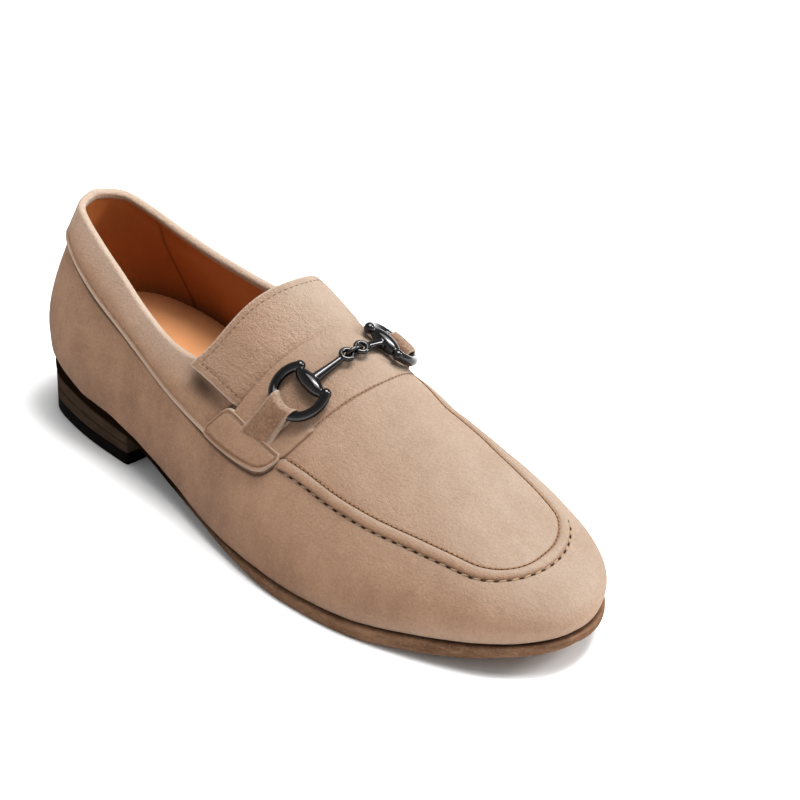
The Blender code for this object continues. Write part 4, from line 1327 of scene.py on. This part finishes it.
class Seat:
    """Flat frame on the last: u to the toe, w to the crest, n outward."""

    def __init__(self, side, along, v, lift):
        self.centre = lifted(side, along, v, lift)
        self.n = outward(side, along, v)
        ahead = lifted(side, along + 0.5, v, lift) - lifted(side, along - 0.5, v, lift)
        ahead -= self.n * (ahead @ self.n)
        self.u = ahead / np.linalg.norm(ahead)
        self.w = np.cross(self.u, self.n) * SIGN[side]

    def at(self, u, w, n=0.0):
        return self.centre + self.u * u + self.w * w + self.n * n

    def read(self, point):
        away = point - self.centre
        return np.array([away @ self.u, away @ self.w, away @ self.n])

    def turn(self, direction):
        return np.array([direction @ self.u, direction @ self.w, direction @ self.n])

    def matrix(self):
        place = (self.centre - ORIGIN) * MM
        return Matrix([[self.u[k], self.w[k], self.n[k], place[k]] for k in range(3)] + [[0, 0, 0, 1]])


def ring_seat(side):
    return Seat(side, *RING_SEAT[side], RING_LIFT)


link_seat = Seat("lateral", *LINK_SEAT, LINK_LIFT)
link_across = ring_seat("medial").centre - ring_seat("lateral").centre
link_across -= link_seat.n * (link_across @ link_seat.n)
link_across /= np.linalg.norm(link_across)
print("link at", np.round(link_seat.centre - ORIGIN, 1))

# %% [markdown]
# ## The snaffle bit
# Each half of the bit is one casting: a ring that is cut flat where an egg-shaped barrel closes it, two
# knobs, a tapered bar and a small eye. We model a torus, bisect it, add spheres, a cone and a second
# torus in the ring's own flat frame, and then melt them together with a voxel remesh and a little
# smoothing, which leaves the soft fillets of a cast piece.

# %% Castings
KNOB_AT = BARREL_CHORD + 1.6
KNOB_RADIUS = 2.3
BARREL_SHAPE = (8.4, 3.4, 3.2)
BAR_THICK = 2.4
BAR_THIN = 1.35
VOXEL = 0.22


def turned_to(direction):
    return Vector(direction).to_track_quat("Z", "Y").to_euler()


def cut_ring():
    start_fresh()
    bpy.ops.mesh.primitive_torus_add(major_radius=RING_RADIUS * MM, minor_radius=RING_WIRE * MM,
                                     major_segments=96, minor_segments=24)
    bpy.ops.object.mode_set(mode="EDIT")
    bpy.ops.mesh.select_all(action="SELECT")
    bpy.ops.mesh.bisect(plane_co=(0, KNOB_AT * MM, 0), plane_no=(0, 1, 0),
                        clear_outer=True, use_fill=True)
    bpy.ops.object.mode_set(mode="OBJECT")
    return bpy.context.object


def knob(way):
    start_fresh()
    aside = way * np.sqrt(RING_RADIUS**2 - KNOB_AT**2)
    bpy.ops.mesh.primitive_uv_sphere_add(segments=28, ring_count=18, radius=KNOB_RADIUS * MM,
                                         location=(aside * MM, KNOB_AT * MM, 0))
    return bpy.context.object


def egg_barrel():
    start_fresh()
    bpy.ops.mesh.primitive_uv_sphere_add(segments=32, ring_count=20, radius=MM,
                                         location=(0, BARREL_CHORD * MM, 0))
    bpy.ops.object.mode_set(mode="EDIT")
    bpy.ops.transform.resize(value=BARREL_SHAPE)
    bpy.ops.object.mode_set(mode="OBJECT")
    return bpy.context.object


def casting(side):
    seat = ring_seat(side)
    ring = cut_ring()
    knobs = [knob(way) for way in (-1, 1)]
    barrel = egg_barrel()
    eye = seat.read(link_seat.centre + SIGN[side] * EYE_AT * link_across)
    start = np.array([0.0, BARREL_CHORD, 0.0])
    way = (eye - start) / np.linalg.norm(eye - start)
    stop = eye - way * EYE_RADIUS
    start_fresh()
    bpy.ops.mesh.primitive_cone_add(vertices=24, radius1=BAR_THICK * MM, radius2=BAR_THIN * MM,
                                    depth=np.linalg.norm(stop - start) * MM,
                                    location=(start + stop) / 2 * MM, rotation=turned_to(way))
    bar = bpy.context.object
    start_fresh()
    bpy.ops.mesh.primitive_torus_add(major_radius=EYE_RADIUS * MM, minor_radius=EYE_WIRE * MM,
                                     major_segments=40, minor_segments=14, location=eye * MM,
                                     rotation=turned_to(seat.turn(link_seat.n)))
    eyelet = bpy.context.object
    whole = join([ring, barrel, bar, eyelet] + knobs, "bit_casting_" + side)
    bpy.ops.object.transform_apply(location=True, rotation=True, scale=True)
    apply_modifier(whole, "REMESH", mode="VOXEL", voxel_size=VOXEL * MM)
    apply_modifier(whole, "SMOOTH", factor=0.5, iterations=6)
    whole.data.transform(seat.matrix())
    bpy.ops.object.shade_smooth()
    return wear(whole, "gunmetal", polished_gunmetal, node="bit_" + side)


for side in SIGN:
    casting(side)

# %% [markdown]
# ## The link
# A narrow oval link joins the two eyes. Scaling a torus would flatten its wire too, so only its centre
# line is squeezed, and every vertex keeps its distance from that line.

# %% Link
start_fresh()
bpy.ops.mesh.primitive_torus_add(major_radius=EYE_AT * MM, minor_radius=LINK_WIRE * MM,
                                 major_segments=48, minor_segments=14)
link = bpy.context.object
link.name = "bit_link_ring"
squeeze = LINK_RISE / EYE_AT
links = np.array([v.co for v in link.data.vertices])
centre_line = links[:, :2] / np.linalg.norm(links[:, :2], axis=1, keepdims=True) * EYE_AT * MM
from_line = links.copy()
from_line[:, :2] -= centre_line
across, upward, beside = link_across, link_seat.n, np.cross(link_across, link_seat.n)
places = (np.outer(centre_line[:, 0] + from_line[:, 0], across)
          + np.outer(centre_line[:, 1] * squeeze + from_line[:, 1], upward)
          + np.outer(from_line[:, 2], beside))
places += (link_seat.centre - ORIGIN) * MM
link.data.vertices.foreach_set("co", places.astype(np.float32).ravel())
weld(link)
wear(link, "gunmetal", polished_gunmetal, node="bit_link")

# %% [markdown]
# ## Loops
# A narrow strap goes round each ring's wire, and both its ends are sewn down on the tab. The section is
# a drop: round at the wire and flat at the tab, where the strap spreads a little, more to the toe. It is
# swept over the loop's width and follows the arc of the ring.

# %% Loops round the rings
LOOP_HALF_WIDTH = 6.0
LOOP_SLOT = 51.6
LOOP_WRAP = 0.6
LOOP_TAIL = 0.5
LOOP_DOWN = 2.8
LOOP_FREE = 0.12
LOOP_SINK = 0.1


def loop_piece(side):
    seat = ring_seat(side)
    slot_height = tab_edge["high"](LOOP_SLOT) + TAB_RAISE[side] - LOOP_DOWN
    slot_v = v_at_height(side, np.array(LOOP_SLOT), slot_height)
    slot = seat.read(lifted(side, LOOP_SLOT, slot_v, GAP + TAB_THICK - LOOP_SINK))
    hole_rise = RING_WIRE + LOOP_FREE
    turns = np.linspace(0, 2 * np.pi, 65)
    shares = np.concatenate([[-1, -0.97, -0.92], np.linspace(-0.84, 0.84, 15), [0.92, 0.97, 1]])
    round_off = np.array([0.25, 0.1, 0.02] + [0] * 15 + [0.02, 0.1, 0.25])
    outer = []
    inner = []
    for share, soft in zip(shares, round_off):
        u = LOOP_HALF_WIDTH * share
        wire = -np.sqrt(RING_RADIUS**2 - u * u)
        hole = hole_rise * RING_RADIUS / -wire
        back = np.clip(-np.cos(turns), 0, 1)
        front = np.clip(np.cos(turns), 0, 1)
        wrap = LOOP_WRAP + 0.35 - soft
        tail = slot[2] + LOOP_TAIL * (1 + np.sin(turns)) / 2 + 0.25 * np.sin(np.pi * back) * np.sin(turns)
        flare = 0.4 if u > 0 else 0.12
        aside = u * (1 + 0.08 * back + flare * np.clip(back - 0.7, 0, 1)**2 / 0.09) + slot[0] * back
        toward = wire * (1 - back) + slot[1] * back + (hole + wrap) * front
        lift = (hole_rise + wrap) * np.sin(turns) * (1 - back) + tail * back
        outer.append([seat.at(*q) for q in zip(aside, toward, lift)])
        inner.append([seat.at(u, wire + hole * np.cos(t), hole_rise * np.sin(t)) for t in turns])
    rows = np.array(outer + inner[::-1] + outer[:1])
    marks = np.minimum(shares + 1, 1 - shares) * LOOP_HALF_WIDTH
    marks = np.concatenate([marks, 0 * marks, marks[:1]])[:, None]
    piece = weld(laid_grid("loop_suede_" + side, rows, edge_mm=np.broadcast_to(marks, rows.shape[:2])))
    bpy.ops.object.shade_smooth_by_angle(angle=np.radians(60))
    return wear(piece, "sand_suede", suede_loop, node="loop_" + side)


for side in SIGN:
    loop_piece(side)

# %% [markdown]
# ## Stitches
# One stitch is a short round thread with soft ends: a small sphere, pulled long. It is modelled once
# and copied along each seam with numpy, which is an array in all but name, and each seam becomes one
# mesh. The holes that the needle leaves are made in the same way, only flatter: dark flat marks that
# are painted shade.

# %% A stitch and how it is copied
start_fresh()
bpy.ops.mesh.primitive_uv_sphere_add(segments=8, ring_count=6, radius=1.0)
pattern = bpy.context.object
stitch_points = np.array([v.co for v in pattern.data.vertices])
stitch_faces = [list(face.vertices) for face in pattern.data.polygons]
bpy.data.objects.remove(pattern)
print("faces of one stitch:", len(stitch_faces))


def spaced(points, pitch):
    """Places and directions at an even pitch along a line of points."""
    run = np.concatenate([[0], np.cumsum(np.linalg.norm(np.diff(points, axis=0), axis=1))])
    count = max(int(run[-1] / pitch), 2)
    at = (np.arange(count) + 0.5) * run[-1] / count
    middle = np.stack([np.interp(at, run, points[:, k]) for k in range(3)], 1)
    ahead = np.stack([np.interp(at + 0.3, run, points[:, k]) - np.interp(at - 0.3, run, points[:, k])
                      for k in range(3)], 1)
    return middle, ahead / np.linalg.norm(ahead, axis=1, keepdims=True), at / run[-1]


def stitches(name, lines, finish, pitch, length, thick, flat=1.0, shift=0.0, slant=0.0):
    """Threads along lines; each line is points on the surface and their outward directions."""
    places = []
    faces = []
    for points, normals in lines:
        middle, ahead, share = spaced(points, pitch)
        pick = np.clip((share * (len(normals) - 1)).astype(int), 0, len(normals) - 1)
        up = normals[pick]
        beside = np.cross(up, ahead)
        beside /= np.linalg.norm(beside, axis=1, keepdims=True)
        way = ahead * np.cos(slant) + beside * np.sin(slant)
        cross = np.cross(up, way)
        for k in range(len(middle)):
            base = middle[k] + ahead[k] * shift
            body = (np.outer(stitch_points[:, 2] * length / 2, way[k])
                    + np.outer(stitch_points[:, 0] * thick, cross[k])
                    + np.outer(stitch_points[:, 1] * thick * flat, up[k]))
            first = len(places) * len(stitch_points)
            places.append(base + body)
            faces += [[first + i for i in face] for face in stitch_faces]
    mesh = bpy.data.meshes.new(name)
    mesh.from_pydata(((np.concatenate(places) - ORIGIN) * MM).tolist(), [], faces)
    piece = bpy.data.objects.new(name, mesh)
    bpy.context.scene.collection.objects.link(piece)
    weld(piece, 1e-7)
    return wear(piece, "sand_suede", finish)


# %% [markdown]
# ## Apron stitches
# Two lines follow the roll: long sand-coloured stitches with open holes on the wall's side, and small
# tan ones on the apron's side. Each lies in the groove on its own side of the ridge. The holes on both
# lines are dark flat marks between the stitches: painted shade.

# %% Apron stitches
INNER_GROOVE_AT = 2.7
OUTER_PITCH = 4.9
INNER_PITCH = 2.3


def apron_line(offset, lift):
    """A line beside the apron seam, from the outer side round the toe to the inner side."""
    alongs = np.concatenate([[APRON_START + 0.6], even_alongs(APRON_START + 1.2, 100, 160)])
    points = []
    normals = []
    for side in SIGN:
        seam, speed, fade = seam_frame(side, alongs)
        v = seam + offset / speed
        rise = roll_profile(offset) * fade + crease_height(side, alongs, v) + lift
        order = slice(None) if side == "lateral" else slice(-2, None, -1)
        points.append(lifted(side, alongs, v, rise)[order])
        normals.append(outward(side, alongs, v)[order])
    return np.concatenate(points), np.concatenate(normals)


stitches("apron_thread_outer", [apron_line(-GROOVE_AT, lift=0.34)], sand_thread,
         pitch=OUTER_PITCH, length=3.3, thick=0.46, flat=0.8, slant=0.16)
# the holes are dark flat marks: painted shade
stitches("apron_holes", [apron_line(-GROOVE_AT, lift=0.16)], shade_in_holes,
         pitch=OUTER_PITCH, length=2.3, thick=0.62, flat=0.55, shift=OUTER_PITCH / 2)
stitches("apron_thread_inner", [apron_line(INNER_GROOVE_AT, lift=0.3)], tan_thread,
         pitch=INNER_PITCH, length=1.75, thick=0.36, flat=0.8)
stitches("apron_holes_inner", [apron_line(INNER_GROOVE_AT, lift=0.12)], shade_in_holes,
         pitch=INNER_PITCH, length=0.8, thick=0.34, flat=0.6, shift=INNER_PITCH / 2)

# %% [markdown]
# ## Tongue, tab and strap stitches
# Every laid sheet remembers how far each of its points is from its four edges. A line at an even inset
# from one edge is read from those distances, and it is cut short where it would run past another edge.

# %% Tongue, tab and strap stitches
def line_at(sheet, edge_name, inset, others=(), lift=0.0):
    """The line of a laid sheet at an inset from one edge, cut short at other edges."""
    by_column = edge_name in ("near", "far")

    def lanes(array):
        return array if by_column else np.swapaxes(array, 0, 1)
    depth = lanes(sheet[edge_name])
    pick = []
    for k in range(depth.shape[1]):
        order = np.argsort(depth[:, k])
        pick.append(np.interp(inset, depth[order, k], order))
    pick = np.array(pick)
    low = np.clip(np.floor(pick).astype(int), 0, depth.shape[0] - 2)

    def read(array):
        array = lanes(array)
        column_numbers = np.arange(array.shape[1])
        share = (pick - low).reshape((-1,) + (1,) * (array.ndim - 2))
        return array[low, column_numbers] * (1 - share) + array[low + 1, column_numbers] * share
    face = np.cross(np.gradient(sheet["points"], axis=1), np.gradient(sheet["points"], axis=0))
    face /= np.linalg.norm(face, axis=-1, keepdims=True) + 1e-12
    face *= np.sign(np.sum(face * (sheet["points"] - sheet["under"])))
    keep = np.ones(len(pick), bool)
    for other, least in others:
        keep &= read(sheet[other]) >= least
    normals = read(face)[keep]
    return read(sheet["points"])[keep] + normals * lift, normals


across_ends = (("left", TONGUE_STITCH), ("right", TONGUE_STITCH))
side_ends = (("near", TONGUE_STITCH), ("far", 2.5))
tongue_lines = [line_at(tongue_gaps, edge_name, TONGUE_STITCH, others, lift=0.12)
                for edge_name, others in (("near", across_ends), ("left", side_ends), ("right", side_ends))]
stitches("tongue_thread", tongue_lines, tongue_stitch,
         pitch=2.6, length=1.7, thick=0.18, flat=0.7)
ends = (("left", 2.0), ("right", 2.0))
rims = (("near", 2.0), ("far", 2.0))
tab_lines = []
for side in SIGN:
    for edge_name, others in (("near", ends), ("left", rims), ("right", rims)):
        line = line_at(tab_gaps[side], edge_name, TAB_STITCH, others, lift=0.1)
        if len(line[0]) > 3:
            tab_lines.append(line)
stitches("tab_thread", tab_lines, tan_thread, pitch=2.3, length=1.5, thick=0.24, flat=0.7)
strap_line = line_at(strap_gaps, "far", 1.4, (("left", 18.5), ("right", 2.0)), lift=0.02)
# the strap's needle holes: brown flat marks, painted shade
stitches("strap_holes", [strap_line], strap_edge_hole_shade, pitch=1.9, length=1.1, thick=0.2, flat=0.5)

# %% [markdown]
# ## Studio
# A pale floor, a large soft light overhead with a brighter panel beside it, and a narrow window on the
# inner side. The sky is brighter at the horizon than overhead: suede hardly notices, but the polished
# bit mirrors it, so the metal stays dark and the panel draws crisp streaks on it.

# %% Floor and sky
start_fresh()
bpy.ops.mesh.primitive_plane_add(size=6.0, location=(0, 0, 0))
floor = bpy.context.object
floor.name = "studio_floor"
floor_paper = Recipe("floor_paper", roughness=0.9, Specular_IOR_Level=0.0)
floor.data.materials.append(floor_paper.done((0.9, 0.9, 0.9, 1)))

SKY_HORIZON = 0.80
SKY_OVERHEAD = 0.30
world = bpy.data.worlds.new("studio_sky")
bpy.context.scene.world = world
world.use_nodes = True
sky = world.node_tree.nodes["Background"]
sky_place = world.node_tree.nodes.new("ShaderNodeTexCoord")
sky_axes = world.node_tree.nodes.new("ShaderNodeSeparateXYZ")
sky_tone = world.node_tree.nodes.new("ShaderNodeMapRange")
sky_tone.inputs["To Min"].default_value = SKY_HORIZON
sky_tone.inputs["To Max"].default_value = SKY_OVERHEAD
world.node_tree.links.new(sky_place.outputs["Generated"], sky_axes.inputs[0])
world.node_tree.links.new(sky_axes.outputs["Z"], sky_tone.inputs["Value"])
world.node_tree.links.new(sky_tone.outputs[0], sky.inputs["Color"])
print("sky from", SKY_HORIZON, "at the horizon to", SKY_OVERHEAD, "overhead")


# %% Lights
def soft_light(name, place, target, size, power):
    lamp = bpy.data.lights.new(name, "AREA")
    lamp.shape = "RECTANGLE"
    lamp.size, lamp.size_y = size
    lamp.energy = power
    holder = bpy.data.objects.new(name, lamp)
    bpy.context.scene.collection.objects.link(holder)
    holder.location = place
    holder.rotation_euler = (Vector(target) - Vector(place)).to_track_quat("-Z", "Y").to_euler()
    print(name, power, "W")


soft_light("top_light", (0.17, 0.27, 1.5), (0, 0, 0), (1.3, 1.1), 24.0)
soft_light("streak_panel", (0.25, 0.40, 1.5), (0, 0, 0), (0.35, 0.8), 27.0)
soft_light("strip_window", (0.95, 1.0, 0.85), (0, 0, 0.05), (0.3, 0.6), 15.0)

# %% [markdown]
# ## Camera
# The camera stands where the photographer stood: a long lens, about thirty degrees up, in front of the
# outer side, a little under two metres away. Its three directions are worked out from a turn and a tilt,
# and it aims somewhat past the shoe, so that the shoe lies in the picture where the photograph has it.

# %% Camera
LENS = 202.5
CAMERA_TURN = 48.24
CAMERA_TILT = 30.05
CAMERA_AIM = (-0.00159, 0.04881, 0.035)
CAMERA_AWAY = 1.82719
camera_data = bpy.data.cameras.new("photo_camera")
camera_data.lens = LENS
camera_data.sensor_width = 36.0
camera_data.clip_end = 20.0
camera = bpy.data.objects.new("photo_camera", camera_data)
bpy.context.scene.collection.objects.link(camera)
turn = np.radians(CAMERA_TURN)
tilt = np.radians(CAMERA_TILT)
back = np.array([np.sin(turn) * np.cos(tilt), -np.cos(turn) * np.cos(tilt), np.sin(tilt)])
right = np.array([np.cos(turn), np.sin(turn), 0.0])
above = np.cross(back, right)
stand = np.array(CAMERA_AIM) + back * CAMERA_AWAY
camera.matrix_world = Matrix([[right[k], above[k], back[k], stand[k]] for k in range(3)] + [[0, 0, 0, 1]])
bpy.context.scene.camera = camera
bpy.context.scene.view_settings.view_transform = "Standard"
print("camera stands at", np.round(stand, 3))

# %% [markdown]
# ## Finish
# At the end the view layer is brought up to date.

# %% Finish
bpy.context.view_layer.update()
